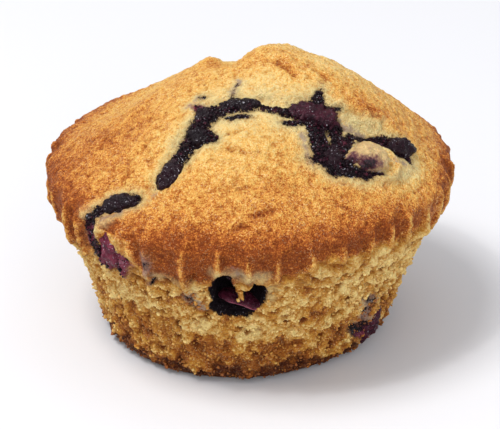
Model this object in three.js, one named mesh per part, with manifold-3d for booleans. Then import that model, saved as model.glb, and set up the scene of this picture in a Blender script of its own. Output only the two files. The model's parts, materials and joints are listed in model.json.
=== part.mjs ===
// A domed berry muffin baked in a pleated paper case, with the case peeled away.
// Millimetres, +Z up. The origin is on the ground under the middle of the muffin, and its front faces -Y.
// Azimuths run anticlockwise from +X, so the front is at -90 degrees.

import * as THREE from 'three';
import { mergeVertices } from 'three/addons/utils/BufferGeometryUtils.js';
import Module from 'manifold-3d';

const wasm = await Module();
wasm.setup();

// Driving sizes of the cake
const CROWN_RADIUS = 39.5;
const CROWN_HEIGHT = 33.2;
const BASE_RADIUS = 29;
const BASE_SHIFT = -1.2;
const LIP_HEIGHT = 26;
const LIP_OVERHANG = 2;
const DOME_RISE = 22.1;
const DOME_ROUNDNESS = 1.28;
const APEX_SHIFT = 4.2;
const APEX_SOFTNESS = 0.14;
const WALL_FLARE = 1.49;
const TOE_ROUNDING = 2.6;
const TOE_FADE = 1.3;

// How far the round sections depart from a circle, as shares of their radius
const CROWN_OUT_OF_ROUND = [
  { waves: 1, cosine: -0.006, sine: 0 },
  { waves: 2, cosine: 0.003, sine: 0.007 },
  { waves: 3, cosine: 0.008, sine: 0.011 },
];
const BASE_OUT_OF_ROUND = [
  { waves: 2, cosine: -0.004, sine: 0.006 },
  { waves: 3, cosine: 0.014, sine: 0.004 },
];

// Marks that the pleated case pressed into the cake
const PLEATS = 40;
const FRONT_PLEAT = -91;
const PLEAT_DEPTH_AT_CRUST = 0.6;
const PLEAT_DEPTH_ON_WALL = 0.25;
const PLEAT_TOP = 36.5;
const LIP_WANDER = 1.1;
const LIP_WANDER_SIZE = 4.5;

// Relief of the baked surface
const CRUMB_RELIEF = 0.45;
const CRUMB_SIZE = 3.2;
const CRUST_RELIEF = 0.35;
const CRUST_LUMP_SIZE = 7;
const NOISE_SEED = 11;

// Swellings and dips of the dome: the lobes of the summit, the notch between them, and the shoulders
const SWELLS = [
  { x: 20, y: 0, spread: 9, rise: 3.9 },
  { x: 24, y: 8, spread: 8, rise: -0.9 },
  { x: -2, y: -25, spread: 9, rise: 1.8 },
  { x: 0, y: 18, spread: 9, rise: -2 },
  { x: -15, y: 10, spread: 7, rise: 1.8 },
  { x: -26, y: 14, spread: 8, rise: -3.8 },
  { x: -7.5, y: 7.7, spread: 2, rise: 2 },
  { x: 2.9, y: 6.2, spread: 3.5, rise: 1.9 },
  { x: 7.7, y: 11.4, spread: 3, rise: 2.5 },
  { x: -4, y: 6.9, spread: 2.8, rise: -1.7 },
  { x: -2, y: -3, spread: 3.5, rise: -0.5 },
];

// The crack that opened round the front of the dome as it rose, in plan
const CRACK_PATH = [
  [-17.5, -26.5],
  [-13, -21.7],
  [-9.7, -16],
  [-5.6, -11.8],
  [2, -11.6],
  [9, -13],
  [15, -14],
  [15.5, -21],
];
const CRACK_DEPTH = 1.5;
const CRACK_HALF_WIDTH = 2.6;
const CRACK_SAMPLES = 48;

// The open pocket on the right of the dome, above the berry that the crumb covers
const POCKET = { x: 22.5, y: -12.6, alongX: 5, alongY: 2.6, depth: 2.4 };

// How finely the cake is faceted
const SEGMENTS = PLEATS * 4;
const WALL_ROWS = 6;
const WALL_ROW_CROWDING = 1.15;
const CRUST_EDGE_ROWS = 4;
const DOME_ROWS = 14;

// Space between a berry and the cake round it
const BERRY_GAP = 0.35;
const BERRY_FACETING = 2;
const BERRY_LUMPINESS = 0.16;
const BERRY_LUMP_SIZE = 0.8;

// Distance over which the slope of the cake is taken where a berry is seated
const SLOPE_REACH = 1.8;

// Berries that burst along the crack and beside it, and two like them on the side that doesn't show.
// x and y are in plan. heading turns the long side from +X, and sink is how deep the middle lies.
const DOME_BERRIES = [
  {
    name: 'berry_crack_left_low',
    x: -14.6, y: -23.4, heading: 48, sink: 0.3,
    length: 8.2, width: 4.6, depth: 4,
  },
  {
    name: 'berry_crack_left_mid',
    x: -9.6, y: -17.4, heading: 62, sink: 0.2,
    length: 6.2, width: 5.6, depth: 4.4,
  },
  {
    name: 'berry_crack_left_top',
    x: -8.3, y: -12.2, heading: 30, sink: 0.2,
    length: 4.8, width: 4.2, depth: 3.6,
  },
  {
    name: 'berry_crack_upper',
    x: -1.6, y: -11.3, heading: 0, sink: 0.3,
    length: 8, width: 4.2, depth: 3.8,
  },
  {
    name: 'berry_crack_middle',
    x: 12.3, y: -12.9, heading: -8, sink: 0.6,
    length: 11, width: 7.4, depth: 5.4,
  },
  {
    name: 'berry_crack_middle_low',
    x: 15.2, y: -20.2, heading: 78, sink: 0.2,
    length: 6.4, width: 4.8, depth: 4,
  },
  {
    name: 'berry_crumb_covered',
    x: 22.8, y: -17.6, heading: 20, sink: 0.7,
    length: 9.4, width: 7, depth: 6.2,
  },
  {
    name: 'berry_right',
    x: 28.6, y: -11.4, heading: 14, sink: 0.2,
    length: 7.6, width: 3.8, depth: 4,
  },
  {
    name: 'berry_rim_left',
    x: -24.2, y: -26.2, heading: 0, sink: 0.3,
    length: 7, width: 4, depth: 3.8,
  },
  {
    name: 'berry_back_dome',
    x: 9, y: 24, heading: 150, sink: 0.6,
    length: 9, width: 6, depth: 5,
  },
];

// Berries that the wall cut through. height is above the ground and azimuth is in degrees.
const WALL_BERRIES = [
  {
    name: 'berry_rim_split',
    azimuth: -131, height: 29, heading: 66, sink: 1.6,
    length: 9.6, width: 6.4, depth: 5,
  },
  {
    name: 'berry_low_right',
    azimuth: -32, height: 6, heading: 66, sink: 1.6,
    length: 9, width: 5.6, depth: 4.8,
  },
  {
    name: 'berry_back_wall',
    azimuth: 118, height: 14, heading: 10, sink: 1.9,
    length: 9, width: 7.4, depth: 5,
  },
];

// The hole low on the front, with a berry's torn skin lying in it
const HOLE = { azimuth: -92.4, height: 22.2, heading: 0, sink: 1.2, length: 10.6, width: 11, depth: 8.6 };
const HOLE_BERRY = {
  name: 'berry_in_hole',
  azimuth: HOLE.azimuth,
  height: HOLE.height - 2,
  heading: -10,
  sink: 3.3,
  length: 9.6,
  width: 3.6,
  depth: 5.6,
};

const CRUMB_COLOUR = 0xd9a55c;
const BERRY_COLOUR = 0x2b1822;
const COVERED_BERRY_COLOUR = 0x9a7b5e;

const RADIANS = Math.PI / 180;

function smoothStep(low, high, value) {
  const share = Math.min(1, Math.max(0, (value - low) / (high - low)));
  return share * share * (3 - 2 * share);
}

function latticeValue(i, j, k) {
  let mix = Math.imul(i, 374761393) + Math.imul(j, 668265263) + Math.imul(k, 2147483647 - NOISE_SEED);
  mix = Math.imul(mix ^ (mix >>> 13), 1274126177);
  mix = Math.imul(mix ^ (mix >>> 16), 974711);
  return ((mix >>> 8) & 0xffff) / 0xffff;
}

// Smooth lumps between -1 and 1, the same each time for the same place
function lumps(x, y, z, size) {
  const cell = [x, y, z].map((value) => Math.floor(value / size));
  const share = [x, y, z].map((value, axis) => smoothStep(0, 1, value / size - cell[axis]));
  let total = 0;
  for (let corner = 0; corner < 8; corner += 1) {
    const step = [corner & 1, (corner >> 1) & 1, (corner >> 2) & 1];
    const weight = step.reduce((product, on, axis) => product * (on ? share[axis] : 1 - share[axis]), 1);
    total += weight * latticeValue(cell[0] + step[0], cell[1] + step[1], cell[2] + step[2]);
  }
  return 2 * total - 1;
}

function outOfRound(azimuth, terms) {
  return terms.reduce((sum, term) => {
    const turn = term.waves * azimuth;
    return sum + term.cosine * Math.cos(turn) + term.sine * Math.sin(turn);
  }, 1);
}

function crownRadius(azimuth) {
  return CROWN_RADIUS * outOfRound(azimuth, CROWN_OUT_OF_ROUND);
}

function baseRadius(azimuth) {
  return BASE_RADIUS * outOfRound(azimuth, BASE_OUT_OF_ROUND);
}

// The crust's lower edge wanders up and down round the cake
function lipHeight(azimuth) {
  const aroundX = 10 * Math.cos(azimuth);
  const aroundY = 10 * Math.sin(azimuth);
  return LIP_HEIGHT + LIP_WANDER * lumps(aroundX, aroundY, 5, LIP_WANDER_SIZE);
}

// A narrow ridge at each fold of the case, with a rounded hollow between two
function pleat(azimuth) {
  return 1 - 2 * Math.abs(Math.sin(((azimuth - FRONT_PLEAT * RADIANS) * PLEATS) / 2));
}

// The pleats are faint on the wall, deepest on the edge of the crust, and fade out on the dome
function pleatDepth(height) {
  const crusted = smoothStep(LIP_HEIGHT - 4, LIP_HEIGHT + 2, height);
  const depth = PLEAT_DEPTH_ON_WALL + (PLEAT_DEPTH_AT_CRUST - PLEAT_DEPTH_ON_WALL) * crusted;
  return depth * (1 - smoothStep(LIP_HEIGHT + 3, PLEAT_TOP, height));
}

const crackCurve = new THREE.CatmullRomCurve3(CRACK_PATH.map(([x, y]) => new THREE.Vector3(x, y, 0)));
const crackPoints = crackCurve.getSpacedPoints(CRACK_SAMPLES);

function crackDip(x, y) {
  const nearest = Math.min(...crackPoints.map((point) => Math.hypot(point.x - x, point.y - y)));
  return CRACK_DEPTH * (1 - smoothStep(CRACK_HALF_WIDTH * 0.3, CRACK_HALF_WIDTH * 1.6, nearest));
}

function pocketDip(x, y) {
  const away = ((x - POCKET.x) / POCKET.alongX) ** 2 + ((y - POCKET.y) / POCKET.alongY) ** 2;
  return POCKET.depth * Math.exp(-away);
}

// The share of the way out from the shifted apex to the widest ring, for a point in plan
function crownShare(x, y) {
  let share = 1;
  for (let step = 0; step < 12; step += 1) {
    const fromApex = x - APEX_SHIFT * (1 - share);
    share = Math.min(1, Math.hypot(fromApex, y) / crownRadius(Math.atan2(y, fromApex)));
  }
  return share;
}

// The share of the way out with its start eased, so that the summit is round
function easedShare(share) {
  const whole = Math.hypot(1, APEX_SOFTNESS) - APEX_SOFTNESS;
  return (Math.hypot(share, APEX_SOFTNESS) - APEX_SOFTNESS) / whole;
}

function domeHeight(x, y, share = crownShare(x, y)) {
  const rim = 1 - share ** 6;
  const swell = SWELLS.reduce((sum, lobe) => {
    const away = (x - lobe.x) ** 2 + (y - lobe.y) ** 2;
    return sum + lobe.rise * Math.exp(-away / (2 * lobe.spread ** 2));
  }, 0);
  const rise = DOME_RISE * Math.max(0, 1 - easedShare(share)) ** (1 / DOME_ROUNDNESS);
  const relief = CRUST_RELIEF * lumps(x, y, 0, CRUST_LUMP_SIZE);
  return CROWN_HEIGHT + rise + rim * (swell + relief - crackDip(x, y) - pocketDip(x, y));
}

function domePoint(azimuth, share) {
  const x = share * crownRadius(azimuth) * Math.cos(azimuth) + APEX_SHIFT * (1 - share);
  const y = share * crownRadius(azimuth) * Math.sin(azimuth);
  const height = domeHeight(x, y, share);
  const outward = pleatDepth(height) * pleat(azimuth);
  return new THREE.Vector3(x + outward * Math.cos(azimuth), y + outward * Math.sin(azimuth), height);
}

// The cake's radius from the ground to its widest ring, without the fine relief
function wallRadius(azimuth, height) {
  const lip = lipHeight(azimuth);
  const widest = crownRadius(azimuth);
  const neck = widest - LIP_OVERHANG;
  if (height <= lip) {
    const share = height / lip;
    const flared = baseRadius(azimuth) + (neck - baseRadius(azimuth)) * share ** WALL_FLARE;
    return flared - TOE_ROUNDING * Math.exp(-height / TOE_FADE);
  }
  const below = (CROWN_HEIGHT - height) / (CROWN_HEIGHT - lip);
  return neck + LIP_OVERHANG * Math.sqrt(Math.max(0, 1 - below ** 2));
}

// The base sits a little to the left of the crown
function wallShift(height) {
  return BASE_SHIFT * (1 - Math.min(1, height / LIP_HEIGHT));
}

function wallPoint(azimuth, height) {
  const radius = wallRadius(azimuth, height);
  const x = radius * Math.cos(azimuth);
  const y = radius * Math.sin(azimuth);
  const bare = 1 - smoothStep(LIP_HEIGHT - 4, LIP_HEIGHT + 2, height);
  const crumb = CRUMB_RELIEF * bare * lumps(x, y, height, CRUMB_SIZE);
  const relief = smoothStep(0, 3, height) * (pleatDepth(height) * pleat(azimuth) + crumb);
  const outward = (radius + relief) / radius;
  return new THREE.Vector3(x * outward + wallShift(height), y * outward, height);
}

// The rows of the surface from the middle of the base, up the wall and over the crown to the summit
function surfaceRows() {
  const rows = [
    () => new THREE.Vector3(wallShift(0), 0, 0),
  ];
  for (let row = 0; row < WALL_ROWS; row += 1) {
    const share = (row / WALL_ROWS) ** WALL_ROW_CROWDING;
    rows.push((azimuth) => wallPoint(azimuth, share * lipHeight(azimuth)));
  }
  for (let row = 0; row < CRUST_EDGE_ROWS; row += 1) {
    const turn = (1 - row / CRUST_EDGE_ROWS) * 90 * RADIANS;
    rows.push((azimuth) => {
      const drop = (CROWN_HEIGHT - lipHeight(azimuth)) * Math.sin(turn);
      return wallPoint(azimuth, CROWN_HEIGHT - drop);
    });
  }
  for (let row = 0; row <= DOME_ROWS; row += 1) {
    const share = Math.cos((row / DOME_ROWS) * 90 * RADIANS);
    rows.push((azimuth) => domePoint(azimuth, row === DOME_ROWS ? 0 : share));
  }
  return rows;
}

function cakeGeometry() {
  const rows = surfaceRows();
  const profile = rows.map((row) => {
    const point = row(0);
    return new THREE.Vector2(Math.max(0, point.x), point.z);
  });
  const geometry = new THREE.LatheGeometry(profile, SEGMENTS);
  const { position, uv } = geometry.attributes;
  for (let vertex = 0; vertex < position.count; vertex += 1) {
    const row = Math.round(uv.getY(vertex) * (rows.length - 1));
    const step = Math.round(uv.getX(vertex) * SEGMENTS) % SEGMENTS;
    const point = rows[row]((step / SEGMENTS) * 2 * Math.PI + FRONT_PLEAT * RADIANS);
    position.setXYZ(vertex, point.x, point.y, point.z);
  }
  return geometry;
}

// A round body with a wrinkled, uneven skin, long in X, flat in Z
function berryGeometry({ length, width, depth, x = 0, height = 0 }, clearance = 0) {
  const geometry = new THREE.IcosahedronGeometry(1, BERRY_FACETING);
  const { position } = geometry.attributes;
  const point = new THREE.Vector3();
  for (let vertex = 0; vertex < position.count; vertex += 1) {
    point.fromBufferAttribute(position, vertex);
    const swell = BERRY_LUMPINESS * lumps(point.x + x, point.y + height, point.z, BERRY_LUMP_SIZE);
    point.multiplyScalar(1 + swell);
    point.x *= length / 2 + clearance;
    point.y *= width / 2 + clearance;
    point.z *= depth / 2 + clearance;
    position.setXYZ(vertex, point.x, point.y, point.z);
  }
  return geometry;
}

// Turns a body so that its flat side lies on the surface at a point, and sinks it there
function seat(geometry, point, outward, heading, sink) {
  const along = new THREE.Vector3(Math.cos(heading * RADIANS), Math.sin(heading * RADIANS), 0);
  const across = new THREE.Vector3().crossVectors(outward, along).normalize();
  along.crossVectors(across, outward).normalize();
  const centre = point.clone().addScaledVector(outward, -sink);
  const placing = new THREE.Matrix4().makeBasis(along, across, outward).setPosition(centre);
  return geometry.applyMatrix4(placing);
}

function domeNormal(x, y) {
  const slopeX = (domeHeight(x + SLOPE_REACH, y) - domeHeight(x - SLOPE_REACH, y)) / (2 * SLOPE_REACH);
  const slopeY = (domeHeight(x, y + SLOPE_REACH) - domeHeight(x, y - SLOPE_REACH)) / (2 * SLOPE_REACH);
  return new THREE.Vector3(-slopeX, -slopeY, 1).normalize();
}

function seatOnDome(berry, clearance) {
  const point = new THREE.Vector3(berry.x, berry.y, domeHeight(berry.x, berry.y));
  const outward = domeNormal(berry.x, berry.y);
  return seat(berryGeometry(berry, clearance), point, outward, berry.heading, berry.sink);
}

// On the wall the heading turns a body from level, seen from outside
function seatOnWall(body, clearance) {
  const azimuth = body.azimuth * RADIANS;
  const radius = wallRadius(azimuth, body.height);
  const above = wallRadius(azimuth, body.height + SLOPE_REACH);
  const below = wallRadius(azimuth, body.height - SLOPE_REACH);
  const lean = (above - below) / (2 * SLOPE_REACH);
  const outward = new THREE.Vector3(Math.cos(azimuth), Math.sin(azimuth), -lean).normalize();
  const level = new THREE.Vector3(-Math.sin(azimuth), Math.cos(azimuth), 0);
  const up = new THREE.Vector3().crossVectors(outward, level);
  const along = level.multiplyScalar(Math.cos(body.heading * RADIANS));
  along.addScaledVector(up, Math.sin(body.heading * RADIANS));
  const across = new THREE.Vector3().crossVectors(outward, along);
  const centre = new THREE.Vector3(radius * Math.cos(azimuth), radius * Math.sin(azimuth), body.height);
  centre.x += wallShift(body.height);
  centre.addScaledVector(outward, -body.sink);
  const placing = new THREE.Matrix4().makeBasis(along, across, outward).setPosition(centre);
  return berryGeometry(body, clearance).applyMatrix4(placing);
}

function toSolid(geometry) {
  geometry.deleteAttribute('normal');
  geometry.deleteAttribute('uv');
  const merged = mergeVertices(geometry, 1e-4);
  const corners = merged.index.array;
  const kept = [];
  for (let first = 0; first < corners.length; first += 3) {
    const [a, b, c] = corners.slice(first, first + 3);
    if (a !== b && b !== c && c !== a) kept.push(a, b, c);
  }
  const vertProperties = new Float32Array(merged.attributes.position.array);
  return new wasm.Manifold(new wasm.Mesh({ numProp: 3, vertProperties, triVerts: new Uint32Array(kept) }));
}

function toMesh(name, solid, material) {
  const { vertProperties, triVerts } = solid.getMesh();
  const geometry = new THREE.BufferGeometry();
  geometry.setAttribute('position', new THREE.BufferAttribute(vertProperties, 3));
  geometry.setIndex(new THREE.BufferAttribute(triVerts, 1));
  geometry.computeVertexNormals();
  const mesh = new THREE.Mesh(geometry, material);
  mesh.name = name;
  return mesh;
}

function berryMaterial(colour, roughness) {
  return new THREE.MeshStandardMaterial({ color: colour, roughness, metalness: 0 });
}

function buildMuffin() {
  const group = new THREE.Group();
  let cake = toSolid(cakeGeometry());

  for (const berry of DOME_BERRIES) {
    const covered = berry.name === 'berry_crumb_covered';
    const material = covered ? berryMaterial(COVERED_BERRY_COLOUR, 0.8) : berryMaterial(BERRY_COLOUR, 0.35);
    cake = cake.subtract(toSolid(seatOnDome(berry, BERRY_GAP)));
    group.add(toMesh(berry.name, toSolid(seatOnDome(berry, 0)), material));
  }
  for (const berry of WALL_BERRIES) {
    cake = cake.subtract(toSolid(seatOnWall(berry, BERRY_GAP)));
    group.add(toMesh(berry.name, toSolid(seatOnWall(berry, 0)), berryMaterial(BERRY_COLOUR, 0.35)));
  }

  cake = cake.subtract(toSolid(seatOnWall(HOLE, 0)));
  cake = cake.subtract(toSolid(seatOnWall(HOLE_BERRY, BERRY_GAP)));
  group.add(toMesh(HOLE_BERRY.name, toSolid(seatOnWall(HOLE_BERRY, 0)), berryMaterial(BERRY_COLOUR, 0.3)));

  const crumb = new THREE.MeshStandardMaterial({ color: CRUMB_COLOUR, roughness: 0.85, metalness: 0 });
  group.add(toMesh('muffin', cake, crumb));

  const box = new THREE.Box3().setFromObject(group);
  const middle = box.getCenter(new THREE.Vector3());
  group.position.set(-middle.x, -middle.y, 0);
  return group;
}

const group = buildMuffin();

export default group;
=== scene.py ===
"""A berry muffin, out of its paper case, dressed round its CAD frame.

The cake's crust and crumb, its burst berries, their pulp and the loose crumbs are each made by an operator.
"""

import json
import math

import bpy
import numpy as np
from bpy.props import FloatProperty, FloatVectorProperty, IntProperty, PointerProperty
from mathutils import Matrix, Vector

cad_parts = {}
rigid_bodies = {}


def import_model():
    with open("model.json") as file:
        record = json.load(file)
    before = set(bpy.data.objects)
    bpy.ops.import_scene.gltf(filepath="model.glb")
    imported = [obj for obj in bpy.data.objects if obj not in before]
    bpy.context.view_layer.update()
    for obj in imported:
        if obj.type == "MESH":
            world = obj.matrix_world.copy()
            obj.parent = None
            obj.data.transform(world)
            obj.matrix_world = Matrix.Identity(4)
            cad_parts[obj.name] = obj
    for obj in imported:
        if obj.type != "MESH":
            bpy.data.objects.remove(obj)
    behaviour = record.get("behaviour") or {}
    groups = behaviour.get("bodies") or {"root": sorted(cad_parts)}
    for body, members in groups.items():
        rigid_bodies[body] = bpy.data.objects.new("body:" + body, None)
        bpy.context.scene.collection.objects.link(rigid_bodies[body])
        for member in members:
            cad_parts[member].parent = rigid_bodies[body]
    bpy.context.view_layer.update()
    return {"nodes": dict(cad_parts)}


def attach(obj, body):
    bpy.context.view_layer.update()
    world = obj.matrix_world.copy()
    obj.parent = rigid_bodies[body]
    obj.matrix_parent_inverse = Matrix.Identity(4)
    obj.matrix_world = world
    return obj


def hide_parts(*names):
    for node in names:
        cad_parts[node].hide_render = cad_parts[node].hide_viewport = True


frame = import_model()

bl_info = {
    "name": "Berry Muffin",
    "version": (1, 0, 0),
    "blender": (4, 5, 0),
    "location": "View3D > Sidebar > Muffin",
    "description": "Builds a domed berry muffin with a cracked crust and an open crumb",
    "category": "Add Mesh",
}

# Shapes are worked out in millimetres, in the cake's own plan: its wide ring is centred on the axis.
MM = 0.001
PLAN_SHIFT = np.array((-0.064, 0.439, 0.0))

# Driving sizes of the cake, the same as the frame's
CROWN_RADIUS = 39.5
CROWN_HEIGHT = 33.2
BASE_RADIUS = 29.0
BASE_SHIFT = -1.2
LIP_HEIGHT = 26.0
LIP_OVERHANG = 2.0
LIP_WANDER = 1.1
DOME_RISE = 22.1
DOME_ROUNDNESS = 1.28
APEX_SHIFT = 4.2
APEX_SOFTNESS = 0.14
WALL_FLARE = 1.49
TOE_ROUNDING = 2.6
TOE_FADE = 1.3
CRUST_LUMP = 0.35
CRUST_LUMP_SIZE = 7.0
NOISE_SEED = 11

# How far the round sections depart from a circle: waves, cosine share, sine share
CROWN_OUT_OF_ROUND = ((1, -0.006, 0.0), (2, 0.003, 0.007), (3, 0.008, 0.011))
BASE_OUT_OF_ROUND = ((2, -0.004, 0.006), (3, 0.014, 0.004))

# Swellings and dips of the dome: x, y, spread, rise
SWELLS = (
    (20, 0, 9, 3.9),
    (24, 8, 8, -0.9),
    (-2, -25, 9, 1.8),
    (0, 18, 9, -2),
    (-15, 10, 7, 1.8),
    (-26, 14, 8, -3.8),
    (-7.5, 7.7, 2, 2),
    (2.9, 6.2, 3.5, 1.9),
    (7.7, 11.4, 3, 2.5),
    (-4, 6.9, 2.8, -1.7),
    (-2, -3, 3.5, -0.5),
)

# The crack in plan, and the pocket on its right
CRACK_PATH = (
    (-17.5, -26.5),
    (-13, -21.7),
    (-9.7, -16),
    (-5.6, -11.8),
    (2, -11.6),
    (9, -13),
    (15, -14),
    (15.5, -21),
)
CRACK_DEPTH = 1.5
CRACK_HALF_WIDTH = 2.6
POCKET = {"x": 22.5, "y": -12.6, "along_x": 5.0, "along_y": 2.6, "depth": 2.4}

# The berry under a thin coat of batter, in plan
COVERED_BERRY = {"x": 22.8, "y": -17.6, "heading": 20.0, "half_length": 4.7, "half_width": 3.5}

# The case's pleats
PLEATS = 40
FRONT_PLEAT = math.radians(-91)

# Where the crust piece ends and the crumb piece begins, above the ground
SEAM_HEIGHT = 24.6

# On the right of the front the crust's colour ends higher, between these azimuths in degrees
BORDER_RISE = 2.8
BORDER_RISE_FROM = (-90.0, -66.0)
BORDER_RISE_TO = (-38.0, -16.0)

# Along the front the step under the crust's edge is filled with crumb, between these azimuths in degrees
LIP_FILL = 0.8
LIP_FILL_FROM = (-165.0, -140.0)
LIP_FILL_TO = (-48.0, -30.0)

# The pleats' hollows end in arches about this high, and are deepest between these azimuths in degrees
ARCH_HEIGHT = 32.4
DEEP_PLEATS_FROM = (-158.0, -146.0)
DEEP_PLEATS_TO = (-122.0, -104.0)

# The low edge of the side's relief, which fades out over this height above the ground
FLAT_TOE = 1.6

# The batter's skin round the covered berry: its height, and its place and width in half widths of the berry
COLLAR_HEIGHT = 0.9
COLLAR_PLACE = 1.14
COLLAR_WIDTH = 0.2

# Detail of the balls that the cake and the berries are drawn from
CAKE_DETAIL = 8
BERRY_DETAIL = 5

# Seeds of the draws that scatter the loose pieces
CRUMB_SEED = 71
PULP_SEED = 83

# Loose crumbs lie above this height and outside this distance from the axis
CRUMB_MIN_HEIGHT = 0.4
CRUMB_MIN_RADIUS = 20.0

# The camera, in metres and radians: the height of the muffin's middle, how far the camera stands aside and
# looks below that middle, and its focal length and picture width in pixels
MIDDLE_HEIGHT = 0.028
CAMERA_ASIDE = 0.000158
CAMERA_DROP = math.radians(0.665)
FOCAL_PIXELS = 2428.8
PICTURE_PIXELS = 500.0
SENSOR_WIDTH = 36.0

# How strongly the wet places glint
JUICE_GLINTS = 0.7
BERRY_GLINTS = 0.45
COVERED_GLINTS = 0.5
SKIN_GLINTS = 0.1

# Juice that soaked the surface of the dome: x, y and half width of each stroke's points
DOME_JUICE = {
    "left_tip": ((-17.4, -25.4, -0.3), (-16.4, -24.4, 0.4), (-15.4, -23.4, 1.1), (-14.4, -22.6, 1.6)),
    "left_arm": (
        (-14.4, -22.8, 1.4),
        (-12.4, -20.6, 1.9),
        (-10.6, -18.2, 2.0),
        (-9.4, -15.4, 2.1),
        (-8.6, -13.6, 2.0),
    ),
    "left_lobe": ((-10.0, -17.6, 1.2), (-7.8, -19.0, 1.5), (-6.6, -20.0, 0.7)),
    "upper_band": (
        (-8.8, -13.4, 1.9),
        (-6.4, -12.4, 2.2),
        (-4.0, -12.4, 1.9),
        (-1.4, -12.2, 1.5),
        (1.2, -12.7, 0.5),
    ),
    "spur": ((-4.0, -11.0, 0.9), (-3.3, -9.2, 0.25), (-2.9, -7.8, 0.05), (-2.4, -6.4, 0.2)),
    "smear": ((-4.4, -15.6, 0.4), (-2.2, -15.9, 0.9), (0.2, -15.8, 0.1)),
    "thin_line": ((1.0, -12.9, 0.2), (2.8, -13.0, 0.7), (5.0, -13.4, 0.9), (7.0, -13.6, 1.2)),
    "big_blob": (
        (6.6, -13.8, 0.8),
        (9.0, -12.9, 2.2),
        (12.0, -12.2, 3.0),
        (14.6, -13.0, 2.6),
        (16.6, -13.6, 1.3),
    ),
    "blob_top": ((12.8, -10.2, 1.3), (13.6, -8.4, 0.5), (13.8, -7.6, 0.1)),
    "blob_right": ((15.0, -11.2, 1.0), (17.0, -10.6, 0.3)),
    "spike": ((9.2, -16.2, 1.1), (7.2, -16.8, 0.6), (5.2, -17.2, 0.1)),
    "neck": ((12.0, -15.6, 2.1), (13.0, -18.6, 2.1), (13.6, -21.2, 2.5), (15.0, -22.8, 1.5)),
    "left_foot": ((12.6, -22.6, 1.0), (10.8, -23.0, 0.3)),
    "hollow": ((16.0, -14.2, 1.5), (17.0, -17.0, 1.9), (18.2, -20.0, 2.0)),
    "slot": (
        (17.0, -17.2, 1.4),
        (19.4, -14.6, 1.1),
        (22.6, -12.9, 1.1),
        (25.8, -11.6, 1.4),
        (29.4, -11.0, 1.5),
    ),
    "slot_end": ((28.4, -12.6, 1.1), (30.4, -12.6, 0.8), (31.2, -13.4, 0.2)),
    "foot_gap": ((16.4, -21.6, 1.2), (18.4, -21.0, 1.2)),
    "crimson_spot": ((-11.2, -9.4, 0.1), (-9.8, -10.4, 0.7), (-8.6, -11.6, 1.1)),
    "crimson_bit": ((-9.8, -7.8, -0.1), (-9.0, -7.3, 0.25), (-8.4, -7.6, -0.1)),
    "covered_foot": ((15.6, -23.0, 1.4), (18.6, -22.6, 1.2), (21.6, -21.8, 1.3), (24.8, -20.0, 0.6)),
    "rim_berry": ((-21.2, -27.0, 1.0), (-23.4, -26.2, 1.6), (-25.4, -25.4, 1.4)),
    "rim_knobs": ((-26.2, -25.6, 1.0), (-28.0, -25.6, 1.5), (-29.6, -26.2, 1.2), (-30.4, -27.0, 0.8)),
    "back_berry": ((5.4, 26.0, 0.6), (9.0, 24.0, 2.8), (12.6, 21.9, 0.7)),
}

# Juice on the side: azimuth, height and half width
WALL_JUICE = {
    "rim_neck": ((-138.4, 34.2, 1.6), (-138.4, 31.6, 2.2), (-137.0, 28.4, 2.9)),
    "rim_run": ((-137.0, 28.0, 2.9), (-133.8, 26.6, 3.2), (-130.0, 27.0, 3.2), (-127.4, 28.8, 2.0)),
    "low_right": ((-46.5, 8.4, 0.8), (-43.0, 7.2, 1.9), (-38.0, 5.6, 1.6), (-34.0, 4.0, 0.6)),
    "low_right_bits": ((-46.0, 15.8, 0.1), (-43.4, 14.8, 0.65), (-40.6, 13.6, 0.2), (-38.6, 13.4, 0.6)),
    "low_right_speck": ((-44.6, 12.4, 0.1), (-42.0, 11.8, 0.45), (-40.4, 11.6, 0.1)),
    "pit_high": ((-119.0, 30.8, -0.1), (-118.4, 29.6, 0.3), (-118.6, 28.6, -0.1)),
    "pit_low": ((-117.8, 26.9, -0.1), (-117.6, 25.7, 0.35), (-117.0, 24.6, -0.1)),
    "beside_hole": ((-109.4, 22.6, 0.1), (-107.8, 21.6, 0.35), (-106.4, 22.4, 0.3), (-105.8, 20.0, 0.1)),
    "back_berry": ((115, 14.6, 1.0), (118, 14.0, 3.0), (121, 13.4, 1.0)),
}

# Where the juice is thin and looks plum to mauve, in the same two forms
DOME_PLUM = {
    "crimson_spot": ((-11.0, -9.6, 1.6), (-8.8, -11.0, 1.6)),
    "left_tip": ((-18.2, -26.8, 0.1), (-16.4, -24.8, 0.2)),
    "thin_line": ((2.2, -13.0, 0.4), (5.4, -13.4, 0.4)),
    "big_blob": ((9.6, -12.9, 0.2), (12.6, -12.6, 0.7), (13.2, -15.0, 0.2)),
    "hollow": ((16.4, -15.0, 0.2), (17.0, -19.4, 0.6)),
    "slot": ((17.6, -17.0, 0.6), (22.6, -13.1, 0.6), (27.0, -11.8, 0.3)),
    "slot_end": ((29.8, -12.0, 0.3), (31.0, -12.8, 0.3)),
}
WALL_PLUM = {
    "rim_neck": ((-138.0, 33.6, 0.6), (-138.0, 31.0, 2.2), (-138.0, 28.6, 3.0)),
    "rim_run": ((-138.0, 28.2, 1.8), (-134.0, 25.4, 3.0), (-129.0, 25.6, 4.6), (-125.5, 27.6, 3.6)),
    "low_right": ((-43.0, 5.6, 0.6), (-38.0, 4.6, 1.6), (-33.0, 6.0, 1.4)),
}

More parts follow.
